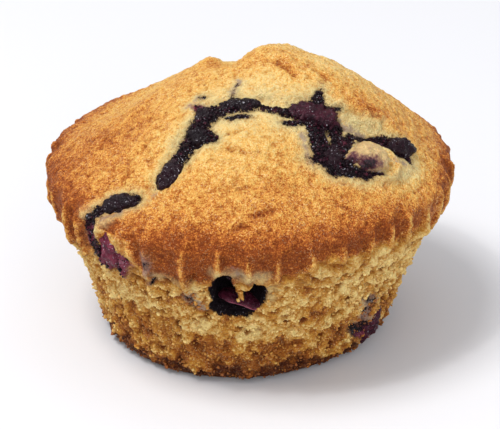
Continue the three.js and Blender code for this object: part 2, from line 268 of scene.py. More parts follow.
# Weak purple stain, in the same two forms
DOME_STAIN = {
    "crimson_spot": ((-10.6, -10.0, 0.9), (-8.6, -10.6, 1.2)),
    "specks": ((-11.4, -9.2, 0.7), (-9.6, -7.2, 0.5)),
    "spur_end": ((-3.2, -8.4, 1.0), (-2.0, -5.4, 0.8)),
    "below_blob": ((9.8, -18.4, 0.5), (10.6, -21.6, 0.7), (11.6, -23.6, 0.5)),
    "left_tail": ((-17.6, -26.6, 0.8), (-19.4, -28.4, 0.2)),
    "around_right": ((27.0, -15.6, 0.6), (29.6, -14.4, 0.7)),
    "pocket_side": ((16.2, -11.8, 0.8), (18.4, -13.0, 1.2), (21.4, -12.2, 0.8)),
    "rim_berry": ((-20.4, -27.6, 0.4), (-24.0, -28.2, 0.7), (-27.4, -27.6, 0.6)),
}
WALL_STAIN = {
    "split_berry": ((-139.0, 29.4, 2.2), (-134.5, 26.4, 2.9), (-129.0, 26.0, 2.7), (-125.6, 27.6, 1.5)),
    "pit_patch": ((-119.4, 31.4, 1.0), (-118.6, 29.0, 1.3), (-118.6, 25.0, 0.6)),
    "beside_hole": ((-107.4, 23.2, 1.2), (-106.4, 21.4, 2.0), (-102.6, 18.6, 0.9)),
    "above_hole": ((-93.8, 30.6, 0.4), (-92.6, 28.4, 0.9)),
    "right_of_hole": ((-85, 25.0, 0.3), (-84.6, 23.0, 0.4)),
    "low_right": ((-44.0, 14.6, 1.5), (-40.0, 12.8, 2.3), (-42.0, 7.6, 2.7), (-34.0, 6.6, 2.4)),
    "back_berry": ((113, 14.0, 2.2), (122, 13.6, 2.6)),
}

# Where the batter beside the juice stayed pale and took a grey-green tint
DOME_HALO = {
    "pocket": ((18.6, -11.2, 1.6), (21.6, -10.8, 2.4), (24.8, -9.8, 2.0)),
    "left": ((-13.6, -17.8, 1.2), (-11.4, -14.6, 1.0)),
    "above_band": ((-2.6, -9.8, 0.8), (2.4, -10.0, 0.9), (7.4, -10.4, 0.3)),
    "below_neck": ((10.0, -18.4, 0.8), (10.6, -21.4, 0.9)),
    "covered_side": ((26.4, -20.0, 0.6), (28.8, -17.6, 1.0), (30.4, -15.8, 0.6)),
    "rim": ((-20.4, -27.4, 0.8), (-24.8, -28.6, 0.8), (-27.6, -28.4, 0.5)),
}
WALL_HALO = {
    "hole_top": ((-99, 28.8, 0.9), (-92, 28.4, 1.2), (-86, 28.2, 0.9)),
    "hole_right": ((-84, 26.2, 0.8), (-83.6, 22.0, 0.8)),
    "pit_patch": ((-117, 26.6, 0.4), (-112, 26.2, 0.6), (-106, 25.4, 0.7)),
}

# Cracks and wrinkles in the crust, and the browned edge that hangs over the pocket
DOME_CREASE = {
    "front": ((0.2, -34.6, 0.15), (1.6, -34.2, 0.5), (3.9, -33.7, 0.5), (5.2, -33.0, 0.1)),
    "front_left": ((-3.4, -36.6, 0.1), (-1.2, -36.0, 0.45), (0.2, -35.9, 0.1)),
    "front_high": ((-2.6, -30.6, 0.05), (-0.4, -30.0, 0.3), (1.8, -30.4, 0.05)),
    "wrinkle": ((-5.0, -22.4, 0.05), (-2.6, -23.0, 0.35), (-0.6, -24.0, 0.3), (2.0, -23.6, 0.05)),
    "wrinkle_high": ((-5.2, -19.2, 0.05), (-3.2, -19.6, 0.25), (-1.2, -19.2, 0.05)),
    "summit": ((3.4, -1.6, 0.3), (5.2, -2.4, 0.5), (7.4, -4.4, 0.6), (8.4, -5.6, 0.3)),
    "summit_right": ((12.6, -3.6, 0.3), (14.6, -5.2, 0.6), (15.4, -5.6, 0.3)),
    "right": ((22.4, -7.6, 0.2), (23.6, -8.4, 0.5), (24.6, -8.2, 0.2)),
    "left": ((-20.6, -17.2, 0.05), (-19.8, -15.6, 0.3), (-19.6, -14.0, 0.05)),
}
DOME_RIDGE = {
    "pocket_edge": ((17.4, -9.4, 0.5), (21.4, -8.2, 0.9), (25.8, -7.0, 0.8), (29.2, -8.0, 0.5)),
    "rim_lobe": ((-24.6, -29.4, 0.4), (-27.2, -29.0, 0.7)),
}
WALL_RIDGE = {
    "rim_tooth": ((-131.6, 34.8, 0.9), (-129.4, 33.4, 1.3), (-129.0, 31.8, 0.8)),
    "beside_split": ((-124.8, 33.0, 0.2), (-123.6, 30.0, 0.5), (-122.6, 27.0, 0.2)),
}

# The hole in the front: its lobes across and up from its middle, with their half width and half height
HOLE_AZIMUTH = math.radians(-92.4)
HOLE_HEIGHT = 22.2
HOLE_DEPTH = 5.6
HOLE_LOBES = ((-3.2, 1.6, 2.6, 4.6), (-1.2, -2.6, 4.9, 2.7), (2.9, 0.9, 2.0, 3.7))

# Places on the dome that browned more or stayed paler, and on the right a pale spot of painted light where
# the key light leaves the dome darker: x, y, spread, change of browning
TOASTED_AND_PAINTED_LIGHT_SPOTS = (
    (-7.2, 5.2, 4.2, 0.20),
    (-16.4, -1.0, 6.5, 0.14),
    (-21.0, -8.0, 6.5, 0.18),
    (-32.0, -7.0, 8.0, 0.14),
    (-15.5, -37.5, 3.0, 0.20),
    (-32.8, -21.6, 1.1, 0.5),
    (6.5, 0.0, 3.4, 0.20),
    (8.2, -4.8, 1.8, 0.24),
    (15.2, -6.0, 3.0, 0.24),
    (21.6, -7.6, 2.6, 0.26),
    (27.5, -6.0, 3.6, 0.14),
    (-3.0, -8.4, 4.2, -0.14),
    (5.0, -9.0, 5.0, -0.12),
    (-2.0, -20.4, 6.0, -0.02),
    (-3.5, -29.0, 4.0, -0.14),
    (-13.0, -17.5, 2.8, -0.16),
    (-18.0, -28.4, 3.8, -0.04),
    # Painted light: this pale spot lifts the right of the dome, which faces away from the key light
    (31.0, -15.0, 6.0, -0.30),
    (0.0, -32.5, 9.0, 0.10),
    (0.0, -2.0, 6.0, 0.18),
    (17.0, -31.0, 7.0, 0.04),
)

# The same on the side: azimuth, height, spread, change
TOASTED_WALL_SPOTS = (
    (-118.5, 30.0, 1.6, 0.5),
    (-105.8, 9.2, 1.3, 0.6),
    (-131.0, 13.4, 1.2, 0.5),
    (-126.5, 10.0, 1.4, 0.55),
    (-112.5, 5.9, 1.2, 0.5),
    (-97.0, 5.0, 1.3, 0.45),
    (-64.5, 16.1, 1.1, 0.6),
    (-72.8, 22.6, 0.8, 0.55),
    (-70.2, 4.1, 1.4, 0.6),
    (-81.8, 8.1, 1.2, 0.5),
    (-88.0, 3.6, 1.4, 0.5),
    (-52.8, 7.5, 1.1, 0.6),
    (-140.0, 8.0, 1.3, 0.5),
    (-150.0, 14.0, 1.2, 0.45),
    (-105.2, 14.5, 1.8, -0.4),
    (-88.5, 11.6, 2.2, -0.45),
    (-76.0, 15.0, 2.4, -0.2),
    (-58.0, 21.0, 2.8, -0.2),
    (-134.0, 18.0, 3.6, -0.14),
    (-97.0, 8.0, 3.2, 0.12),
)


def smooth_step(low, high, value):
    """Eases from 0 at low to 1 at high."""
    share = np.clip((value - low) / (high - low), 0.0, 1.0)
    return share * share * (3.0 - 2.0 * share)


def band(rise, fall, value):
    """Eases from 0 to 1 over the range rise, and back to 0 over the range fall."""
    return smooth_step(*rise, value) * (1.0 - smooth_step(*fall, value))


def lattice_value(i, j, k, seed):
    """A number from 0 to 1 for each whole-numbered place, the same each time."""
    i, j, k = (part.astype(np.int64).astype(np.uint32) for part in (i, j, k))
    mixed = i * np.uint32(374761393) + j * np.uint32(668265263) + k * np.uint32(2147483647 - seed)
    mixed = (mixed ^ (mixed >> np.uint32(13))) * np.uint32(1274126177)
    mixed = (mixed ^ (mixed >> np.uint32(16))) * np.uint32(974711)
    return ((mixed >> np.uint32(8)) & np.uint32(0xFFFF)) / 65535.0


def lumps(points, size, seed=NOISE_SEED):
    """Smooth lumps from -1 to 1, about size across."""
    scaled = points / size
    cell = np.floor(scaled)
    share = smooth_step(0.0, 1.0, scaled - cell)
    total = np.zeros(len(points))
    for corner in range(8):
        step = np.array((corner & 1, corner >> 1 & 1, corner >> 2 & 1))
        weight = np.prod(np.where(step, share, 1.0 - share), axis=1)
        total += weight * lattice_value(*(cell + step).T, seed)
    return 2.0 * total - 1.0


def fractal(points, size, seed, layers=3, fade=0.5):
    """Lumps with finer lumps on them, from about -1 to 1."""
    total = np.zeros(len(points))
    strength = 1.0
    weight = 0.0
    for layer in range(layers):
        turned = points[:, (layer % 3, (layer + 1) % 3, (layer + 2) % 3)] + 17.3 * layer
        total += strength * lumps(turned, size / 2**layer, seed + layer)
        weight += strength
        strength *= fade
    return total / weight


def grains(points, size, seed):
    """Distance to the nearest of scattered centres, in sizes, and that centre's number from 0 to 1."""
    scaled = points / size
    cell = np.floor(scaled)
    nearest = np.full(len(points), 9.0)
    number = np.zeros(len(points))
    for step in np.ndindex(3, 3, 3):
        place = cell + np.array(step) - 1.0
        jitter = [lattice_value(*place.T, seed + part) for part in range(3)]
        away = np.linalg.norm(place + np.stack(jitter, 1) - scaled, axis=1)
        closer = away < nearest
        number = np.where(closer, lattice_value(*place.T, seed + 7), number)
        nearest = np.where(closer, away, nearest)
    return nearest, number


def out_of_round(azimuth, terms):
    return 1.0 + sum(c * np.cos(waves * azimuth) + s * np.sin(waves * azimuth) for waves, c, s in terms)


def crown_radius(azimuth):
    return CROWN_RADIUS * out_of_round(azimuth, CROWN_OUT_OF_ROUND)


def base_radius(azimuth):
    return BASE_RADIUS * out_of_round(azimuth, BASE_OUT_OF_ROUND)


def lip_height(azimuth):
    """Height of the crust's lower edge, which wanders round the cake."""
    around = np.stack((10 * np.cos(azimuth), 10 * np.sin(azimuth), np.full_like(azimuth, 5.0)), 1)
    return LIP_HEIGHT + LIP_WANDER * lumps(around, 4.5)


def path_distance(x, y, path):
    """Distance in plan from points to a path of straight runs."""
    nearest = np.full(x.shape, 1e9)
    for (x0, y0), (x1, y1) in zip(path[:-1], path[1:]):
        run_x, run_y = x1 - x0, y1 - y0
        share = np.clip(((x - x0) * run_x + (y - y0) * run_y) / (run_x**2 + run_y**2), 0.0, 1.0)
        nearest = np.minimum(nearest, np.hypot(x - x0 - share * run_x, y - y0 - share * run_y))
    return nearest


def crack_dip(x, y):
    away = path_distance(x, y, CRACK_PATH)
    return CRACK_DEPTH * (1.0 - smooth_step(CRACK_HALF_WIDTH * 0.3, CRACK_HALF_WIDTH * 1.6, away))


def pocket_dip(x, y):
    away = ((x - POCKET["x"]) / POCKET["along_x"]) ** 2 + ((y - POCKET["y"]) / POCKET["along_y"]) ** 2
    return POCKET["depth"] * np.exp(-away)


def eased_share(share):
    """The share of the way out with its start eased, so that the summit is round."""
    return (np.hypot(share, APEX_SOFTNESS) - APEX_SOFTNESS) / (np.hypot(1.0, APEX_SOFTNESS) - APEX_SOFTNESS)


def dome_height(x, y, share):
    rim = 1.0 - share**6
    swell = 0.0
    for middle_x, middle_y, spread, lift in SWELLS:
        away = (x - middle_x) ** 2 + (y - middle_y) ** 2
        swell = swell + lift * np.exp(-away / (2 * spread**2))
    rise = DOME_RISE * np.maximum(0.0, 1.0 - eased_share(share)) ** (1.0 / DOME_ROUNDNESS)
    relief = CRUST_LUMP * lumps(np.stack((x, y, np.zeros_like(x)), 1), CRUST_LUMP_SIZE)
    return CROWN_HEIGHT + rise + rim * (swell + relief - crack_dip(x, y) - pocket_dip(x, y))


def dome_point(azimuth, share):
    x = share * crown_radius(azimuth) * np.cos(azimuth) + APEX_SHIFT * (1.0 - share)
    y = share * crown_radius(azimuth) * np.sin(azimuth)
    return np.stack((x, y, dome_height(x, y, share)), 1)


def wall_radius(azimuth, height):
    lip = lip_height(azimuth)
    neck = crown_radius(azimuth) - LIP_OVERHANG
    base = base_radius(azimuth)
    flared = base + (neck - base) * np.clip(height / lip, 0.0, 1.0) ** WALL_FLARE
    flared -= TOE_ROUNDING * np.exp(-height / TOE_FADE)
    below = np.clip((CROWN_HEIGHT - height) / (CROWN_HEIGHT - lip), 0.0, 1.0)
    edge = neck + LIP_OVERHANG * np.sqrt(1.0 - below**2)
    return np.where(height <= lip, flared, edge)


def wall_point(azimuth, height):
    radius = wall_radius(azimuth, height)
    x = radius * np.cos(azimuth) + BASE_SHIFT * (1.0 - np.minimum(1.0, height / LIP_HEIGHT))
    return np.stack((x, radius * np.sin(azimuth), height), 1)


def surface_point(azimuth, travel):
    """A point of the smooth cake.

    travel runs from 0 at the summit to 1 at the wide ring, 2 at the ground and 3 under the middle.
    """
    dome = dome_point(azimuth, np.sin(np.clip(travel, 0.0, 1.0) * math.pi / 2))
    wall = wall_point(azimuth, CROWN_HEIGHT * np.clip(2.0 - travel, 0.0, 1.0))
    inward = np.clip(3.0 - travel, 0.0, 1.0)[:, None]
    middle = np.array((BASE_SHIFT, 0.0, 0.0))
    base = middle + (wall - middle) * inward
    place = np.where(travel[:, None] < 1.0, dome, wall)
    return np.where(travel[:, None] > 2.0, base, place)


def travel_of(cosine):
    """Spreads the points of a round ball evenly over the cake, and thinly over its base."""
    travel = np.linspace(0.0, 3.0, 1501)
    profile = surface_point(np.full_like(travel, FRONT_PLEAT), travel)
    radius = np.hypot(profile[:, 0], profile[:, 1])
    step = np.linalg.norm(np.diff(profile, axis=0), axis=1)
    weight = np.where(travel[1:] > 2.0, 0.2, 1.0)
    area = np.concatenate(((0.0,), np.cumsum(step * weight * (radius[1:] + radius[:-1]))))
    return np.interp((1.0 - cosine) / 2.0, area / area[-1], travel)


def dome_strokes(strokes):
    """The strokes' points set on the dome, each with its half width."""
    placed = []
    for stroke in strokes.values():
        x, y, half = (np.array(column, float) for column in zip(*stroke))
        share = np.ones_like(x)
        for _ in range(12):
            from_apex = x - APEX_SHIFT * (1.0 - share)
            share = np.minimum(1.0, np.hypot(from_apex, y) / crown_radius(np.arctan2(y, from_apex)))
        placed.append((np.stack((x, y, dome_height(x, y, share)), 1), half))
    return placed


def wall_strokes(strokes):
    """The strokes' points set on the side, each with its half width."""
    placed = []
    for stroke in strokes.values():
        azimuth, height, half = (np.array(column, float) for column in zip(*stroke))
        placed.append((wall_point(np.radians(azimuth), height), half))
    return placed


def stroke_depth(points, strokes):
    """How far inside the nearest stroke each point is, in millimetres. Outside it is below 0."""
    deepest = np.full(len(points), -99.0)
    for places, half in strokes:
        for start, end, half_start, half_end in zip(places[:-1], places[1:], half[:-1], half[1:]):
            run = end - start
            share = np.clip((points - start) @ run / (run @ run), 0.0, 1.0)
            away = np.linalg.norm(points - start - share[:, None] * run, axis=1)
            deepest = np.maximum(deepest, half_start + (half_end - half_start) * share - away)
    return deepest


def wall_spots():
    """The side's toasted spots, each set on the side."""
    spots = []
    for azimuth, height, spread, change in TOASTED_WALL_SPOTS:
        place = wall_point(np.radians([azimuth]), np.array([height]))[0]
        spots.append((place, spread, change))
    return spots


def spot_sum(points, spots):
    """The sum of round spots: place, spread and strength of each."""
    total = np.zeros(len(points))
    for place, spread, strength in spots:
        away = ((points - place) ** 2).sum(1)
        total += strength * np.exp(-away / (2 * spread**2))
    return total


def hole_depth_share(azimuth, height, points):
    """How far inside the hole's ragged outline each point is, from 0 outside to 1 at the middle of a lobe."""
    across = (azimuth - HOLE_AZIMUTH) * (CROWN_RADIUS - LIP_OVERHANG - 1.0)
    across = across + 0.5 * lumps(points, 2.2, 31) + 0.35 * lumps(points, 0.9, 33)
    up = height - HOLE_HEIGHT + 0.5 * lumps(points, 2.2, 37) + 0.4 * lumps(points, 0.9, 39)
    inside = np.full(len(points), -9.0)
    for middle, level, half_width, half_height in HOLE_LOBES:
        away = np.hypot((across - middle) / half_width, (up - level) / half_height)
        inside = np.maximum(inside, 1.0 - away)
    return np.where(np.abs(across) < 20.0, inside, -9.0)


def pleat_phase(azimuth):
    """0 on a fold's ridge and 1 in the middle of a hollow, and the hollow's own number from 0 to 1."""
    around = np.stack((8 * np.cos(azimuth), 8 * np.sin(azimuth), np.zeros_like(azimuth)), 1)
    count = (azimuth - FRONT_PLEAT) * PLEATS / (2 * math.pi) + 0.24 * lumps(around, 1.7, 5)
    number = np.floor(count)
    hollow = lattice_value(np.mod(number, PLEATS), 0 * number, 0 * number, 3)
    return 1.0 - np.abs(2.0 * (count - number) - 1.0), hollow


def strokes_on_both(points, on_dome, on_wall):
    return stroke_depth(points, dome_strokes(on_dome) + wall_strokes(on_wall))


def covered_share(points):
    """Distance in plan from the covered berry's middle, 1 at its edge."""
    turn = math.radians(COVERED_BERRY["heading"])
    x = points[:, 0] - COVERED_BERRY["x"]
    y = points[:, 1] - COVERED_BERRY["y"]
    along = (x * math.cos(turn) + y * math.sin(turn)) / COVERED_BERRY["half_length"]
    across = (y * math.cos(turn) - x * math.sin(turn)) / COVERED_BERRY["half_width"]
    return np.hypot(along, across)


def pleats_relief(points, azimuth, height, border, settings):
    """Arched hollows between narrow ridges, which the case's pleats pressed into the crust's edge."""
    phase, number = pleat_phase(azimuth)
    wander = fractal(points, 2.2, 45)
    arch = ARCH_HEIGHT + 2.4 * np.sqrt(np.clip(phase, 0.0, 1.0)) + 2.6 * (number - 0.5) + 0.9 * wander
    below_arch = 1.0 - smooth_step(arch - 1.3, arch + 0.7, height)
    hollow = smooth_step(0.16, 0.52, phase + 0.14 * wander) * below_arch * (0.4 + 0.6 * number)
    at_crust = smooth_step(border - 4.5, border + 0.5, height)
    ridge = smooth_step(0.26, 0.05, phase + 0.07 * wander) * below_arch * at_crust
    deep = band(DEEP_PLEATS_FROM, DEEP_PLEATS_TO, np.degrees(azimuth))
    depth = settings.pleat_depth / MM * (0.62 + 0.38 * deep)
    relief = depth * (0.30 - hollow + 0.45 * ridge) * (0.22 + 0.78 * at_crust)
    relief *= band((1.0, 5.0), (34.0, 37.0), height)
    return relief, hollow * at_crust, ridge


def crust_form(points, on_dome, settings):
    """The crust's relief, what it adds to the browning with painted shade in its pits, creases and low grain,
    and its places for painted shade.
    """
    cobble_near, _ = grains(points + 0.4 * lumps(points, 1.4, 49)[:, None], 2.3, 51)
    cobble = 0.22 * (0.5 - cobble_near) + 0.22 * fractal(points, 3.6, 52)
    grain_near, grain_number = grains(points, 1.25, 53)
    fine = 0.8 * (0.5 - grain_near) + 1.1 * fractal(points, 0.95, 57, 2)
    pits = smooth_step(0.34, 0.1, grain_near) * (grain_number > 0.93)

    # Wrinkles and cracks, and the ridges that stand up
    wavy = points * np.array((0.5, 1.0, 0.8))
    wrinkle = smooth_step(0.09, 0.0, np.abs(fractal(wavy, 2.6, 61)))
    wrinkle *= smooth_step(0.2, 0.6, lumps(points, 6.5, 63))
    crease_depth = stroke_depth(points, dome_strokes(DOME_CREASE)) + 0.25 * lumps(points, 0.8, 65)
    crease = np.maximum(0.5 * wrinkle, smooth_step(-0.5, 0.25, crease_depth) * on_dome)
    ridge_depth = strokes_on_both(points, DOME_RIDGE, WALL_RIDGE) + 0.4 * lumps(points, 1.6, 67)
    lifted = smooth_step(-1.6, 0.9, ridge_depth) * (1.0 + 0.6 * (1.0 - on_dome))

    relief = cobble + settings.crust_grain / MM * fine - 0.25 * pits - 0.35 * crease + 0.75 * lifted
    # Pits, creases, the low grain and the gaps between cobbles are painted browner, as painted shade
    browning_and_painted_shading = 0.14 * lifted * on_dome - 0.4 * lifted * (1.0 - on_dome)
    browning_and_painted_shading += 0.12 * pits + 0.16 * crease - 0.13 * fine + 0.10 * (cobble_near - 0.5)
    return relief, browning_and_painted_shading, np.clip(0.8 * pits + 0.35 * crease - 0.4 * fine, 0, 1)


def crumb_form(points, height, degrees, settings):
    """The crumb's torn clumps and air pits: relief, browning with painted light on the clump tops and painted
    shade in the pits, and places for painted shade.
    """
    drift = np.stack([lumps(points, 1.8, seed) for seed in (66, 67, 68)], 1)
    puff_near, puff_number = grains(points + 0.8 * drift, 2.2, 70)
    clump = 0.6 * fractal(points, 2.0, 71, 4, 0.66) + 0.95 * (0.45 - puff_near) * (0.5 + puff_number)
    bead_near, bead_number = grains(points, 1.15, 73)
    air_near, air_number = grains(points + 0.6 * clump[:, None], 2.7, 79)
    air = smooth_step(0.5, 0.14, air_near) * (air_number > 0.55)
    clumps = 1.45 * clump + 0.6 * (0.5 - bead_near) * (0.4 + bead_number)
    relief = 0.5 * fractal(points, 5.0, 83) + settings.crumb_grain / MM * clumps - 0.8 * air

    # Browned patches low on the side, more of them in front, and the browned edge of the base; the clump tops
    # are painted paler and the air pits darker, as painted light and shade
    patchy = 0.5 * smooth_step(0.3, 0.6, fractal(points, 3.0, 109, 2)) * smooth_step(22.0, 10.0, height)
    browning_and_painted_shading = 0.29 + 0.20 * fractal(points, 4.6, 103, 2) - 0.60 * clump + 0.26 * air + 0.6 * patchy
    browning_and_painted_shading += 0.10 * np.exp(-(((degrees + 92.0) / 16.0) ** 2)) * smooth_step(15.0, 9.0, height)
    browning_and_painted_shading += spot_sum(points + 0.7 * clump[:, None], wall_spots()) + 0.14 * smooth_step(17.0, 6.0, height)
    at_ground = smooth_step(5.0, 1.2, height + 1.8 * lumps(points, 2.6, 107))
    browning_and_painted_shading = np.minimum(browning_and_painted_shading, 0.74) + 0.75 * at_ground
    return relief, browning_and_painted_shading, np.clip(1.1 * air - 0.8 * clump, 0, 1)


def crust_browning_and_painted_light(points, height, degrees, share, hollow, ridge):
    """How brown the crust is: more towards its edge and in the pleats' hollows, less on their ridges, with
    painted light at one pale spot on the right of the dome.
    """
    dome_spots = [((x, y), spread, change) for x, y, spread, change in TOASTED_AND_PAINTED_LIGHT_SPOTS]
    toast_and_painted_shading = 0.20 + 0.38 * smooth_step(0.35, 1.0, share) + spot_sum(points[:, :2], dome_spots)
    toast_and_painted_shading += 0.36 * hollow * (0.75 + 0.6 * lumps(points, 1.8, 111)) - 0.46 * ridge
    edge_toast = 0.26 + 0.10 * smooth_step(-118.0, -100.0, degrees)
    toast_and_painted_shading += edge_toast * smooth_step(38.5, 33.0, height)
    return toast_and_painted_shading + 0.09 * fractal(points, 6.0, 101) + spot_sum(points, wall_spots())


def cake_relief(points, azimuth, travel, settings):
    """The height of the relief over the smooth cake, in millimetres, and the marks that colour it."""
    height = points[:, 2]
    degrees = np.degrees(azimuth)
    share = np.sin(np.clip(travel, 0.0, 1.0) * math.pi / 2)
    on_dome = travel < 1.0
    lip = lip_height(azimuth)

    # Crust above, crumb below, with a ragged border that is soft in front
    border = lip + BORDER_RISE * band(BORDER_RISE_FROM, BORDER_RISE_TO, degrees)
    ragged = 2.0 * fractal(points, 3.0, 41, 3, 0.65)
    crust = smooth_step(border - 1.0, border + 2.4, height + ragged)
    crumb = 1.0 - crust
    rough = 1.0 - smooth_step(border + 1.5, border + 5.0, height + ragged)
    pleat, hollow, ridge = pleats_relief(points, azimuth, height, border, settings)
    crust_relief, crust_toast_and_painted_shading, crust_shade = crust_form(points, on_dome, settings)
    crumb_relief, crumb_toast_and_painted_shading, crumb_shade = crumb_form(points, height, degrees, settings)
    crust_toast_and_painted_shading = crust_toast_and_painted_shading + crust_browning_and_painted_light(points, height, degrees, share, hollow, ridge)

    # Juice and the knobs of its pulp, and the skin of batter that rises round the covered berry
    juice = strokes_on_both(points, DOME_JUICE, WALL_JUICE)
    uneven = 0.9 * fractal(points, 1.9, 91, 3, 0.6)
    wet = smooth_step(-0.15, 0.6, juice + uneven)
    knob_near, _ = grains(points, 1.1, 97)
    filled = np.where(on_dome, 0.7 * crack_dip(points[:, 0], points[:, 1]), 0.0)
    knobs = filled + 0.85 * (0.5 - knob_near) + 0.45 * fractal(points, 2.2, 99)
    around_berry = ((covered_share(points) - COLLAR_PLACE) / COLLAR_WIDTH) ** 2
    collar = np.where(on_dome, COLLAR_HEIGHT * np.exp(-around_berry), 0.0) * (1.0 - wet)

    # The parts laid together, with the step under the crust's edge filled and the hole sunk in
    under_lip = np.exp(-np.maximum(lip - height, 0.0) / 3.0) * (1.0 - smooth_step(0.0, 0.8, height - lip))
    dry = (1.0 - rough) * crust_relief + rough * (0.55 + 0.45 * crumb) * crumb_relief + collar
    dry = dry + LIP_FILL * under_lip * band(LIP_FILL_FROM, LIP_FILL_TO, degrees)
    relief = dry * (1.0 - 0.8 * wet) + wet * knobs
    relief = (relief + pleat) * np.where(travel > 2.0, 0.0, smooth_step(0.0, FLAT_TOE, height))
    hole = hole_depth_share(azimuth, height, points)
    relief = relief * (1.0 - 0.5 * (hole > 0.0)) - HOLE_DEPTH * smooth_step(-0.02, 0.36, hole)

    # The marks that the material reads, each from 0 to 1
    plum = strokes_on_both(points, DOME_PLUM, WALL_PLUM)
    stain = strokes_on_both(points, DOME_STAIN, WALL_STAIN)
    tint = strokes_on_both(points, DOME_HALO, WALL_HALO)
    beside = np.where(on_dome, 0.8, 0.3) * np.exp(-((np.minimum(juice + 0.9 * uneven, 0.0) / 1.9) ** 2))
    halo = np.maximum(beside, 0.9 * smooth_step(-2.0, 1.6, tint + 1.2 * uneven))
    thin_juice = smooth_step(-1.4, 1.4, plum + 0.6 * uneven) * (1.0 - 0.2 * on_dome)
    marks = {
        "crust": crust,
        # Browning, with the painted light and shade that the crust and crumb forms add
        "toast_and_painted_shading": crust * crust_toast_and_painted_shading + crumb * crumb_toast_and_painted_shading - 0.24 * halo * crust,
        "juice": 0.5 + np.maximum((juice - 0.1 + 0.85 * uneven) / 2.4, 3.0 * hole),
        "plum": thin_juice * (hole < 0.0),
        "stain": 0.5 + (stain + 0.6 * uneven) / 3.0,
        "halo": halo,
        "cavity": crust * crust_shade + crumb * crumb_shade,
        "hole": hole * 6.0,
    }
    return relief, {name: np.clip(values, 0.0, 1.0) for name, values in marks.items()}


def deselect_all():
    for other in bpy.context.view_layer.objects:
        other.select_set(False)


def activate(piece):
    deselect_all()
    piece.select_set(True)
    bpy.context.view_layer.objects.active = piece


def new_ball(detail, radius=1.0):
    deselect_all()
    bpy.ops.mesh.primitive_ico_sphere_add(subdivisions=detail, radius=radius)
    return bpy.context.active_object


def read(members, name, width=1, kind=np.float32):
    """One property of all members of a mesh's collection, with width numbers for each."""
    values = np.empty(len(members) * width, kind)
    members.foreach_get(name, values)
    return values.reshape(-1, width) if width > 1 else values


def coordinates(mesh):
    return read(mesh.vertices, "co", 3).astype(float)


def set_coordinates(mesh, points):
    mesh.vertices.foreach_set("co", points.astype(np.float32).ravel())
    mesh.update()


def vertex_normals(mesh):
    return read(mesh.vertices, "normal", 3).astype(float)


def shade_smooth(mesh):
    mesh.polygons.foreach_set("use_smooth", np.ones(len(mesh.polygons), bool))


def marks_of(mesh, name):
    return read(mesh.attributes[name].data, "value")


def store(mesh, name, values):
    attribute = mesh.attributes.new(name, "FLOAT", "POINT")
    attribute.data.foreach_set("value", values.astype(np.float32))


def finish_piece(piece, name, material, nodes=()):
    """Names a finished piece, paints it, and lets it ride with the cake in place of its nodes."""
    piece.name = name
    piece.data.name = name
    piece.data.materials.clear()
    piece.data.materials.append(material)
    if nodes:
        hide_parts(*nodes)
    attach(piece, "root")


def linear(red, green, blue):
    """A colour as seen on screen, 0 to 255, as the light values that a shader takes."""
    parts = []
    for part in (red, green, blue):
        part /= 255
        parts.append(part / 12.92 if part <= 0.04045 else ((part + 0.055) / 1.055) ** 2.4)
    return tuple(parts)


GLINT_COLOUR = linear(212, 208, 218)
# Colour of the painted sparkle highlights on the crust
PAINTED_SPARKLE_COLOUR = linear(255, 224, 168)
PORE_COLOUR = linear(120, 60, 22)
RECESS_SHADE = linear(196, 150, 96)
CAVITY_SHADE = linear(140, 84, 36)
THIN_COAT = linear(136, 100, 80)
COAT = linear(178, 146, 100)
THICK_COAT = linear(214, 184, 126)


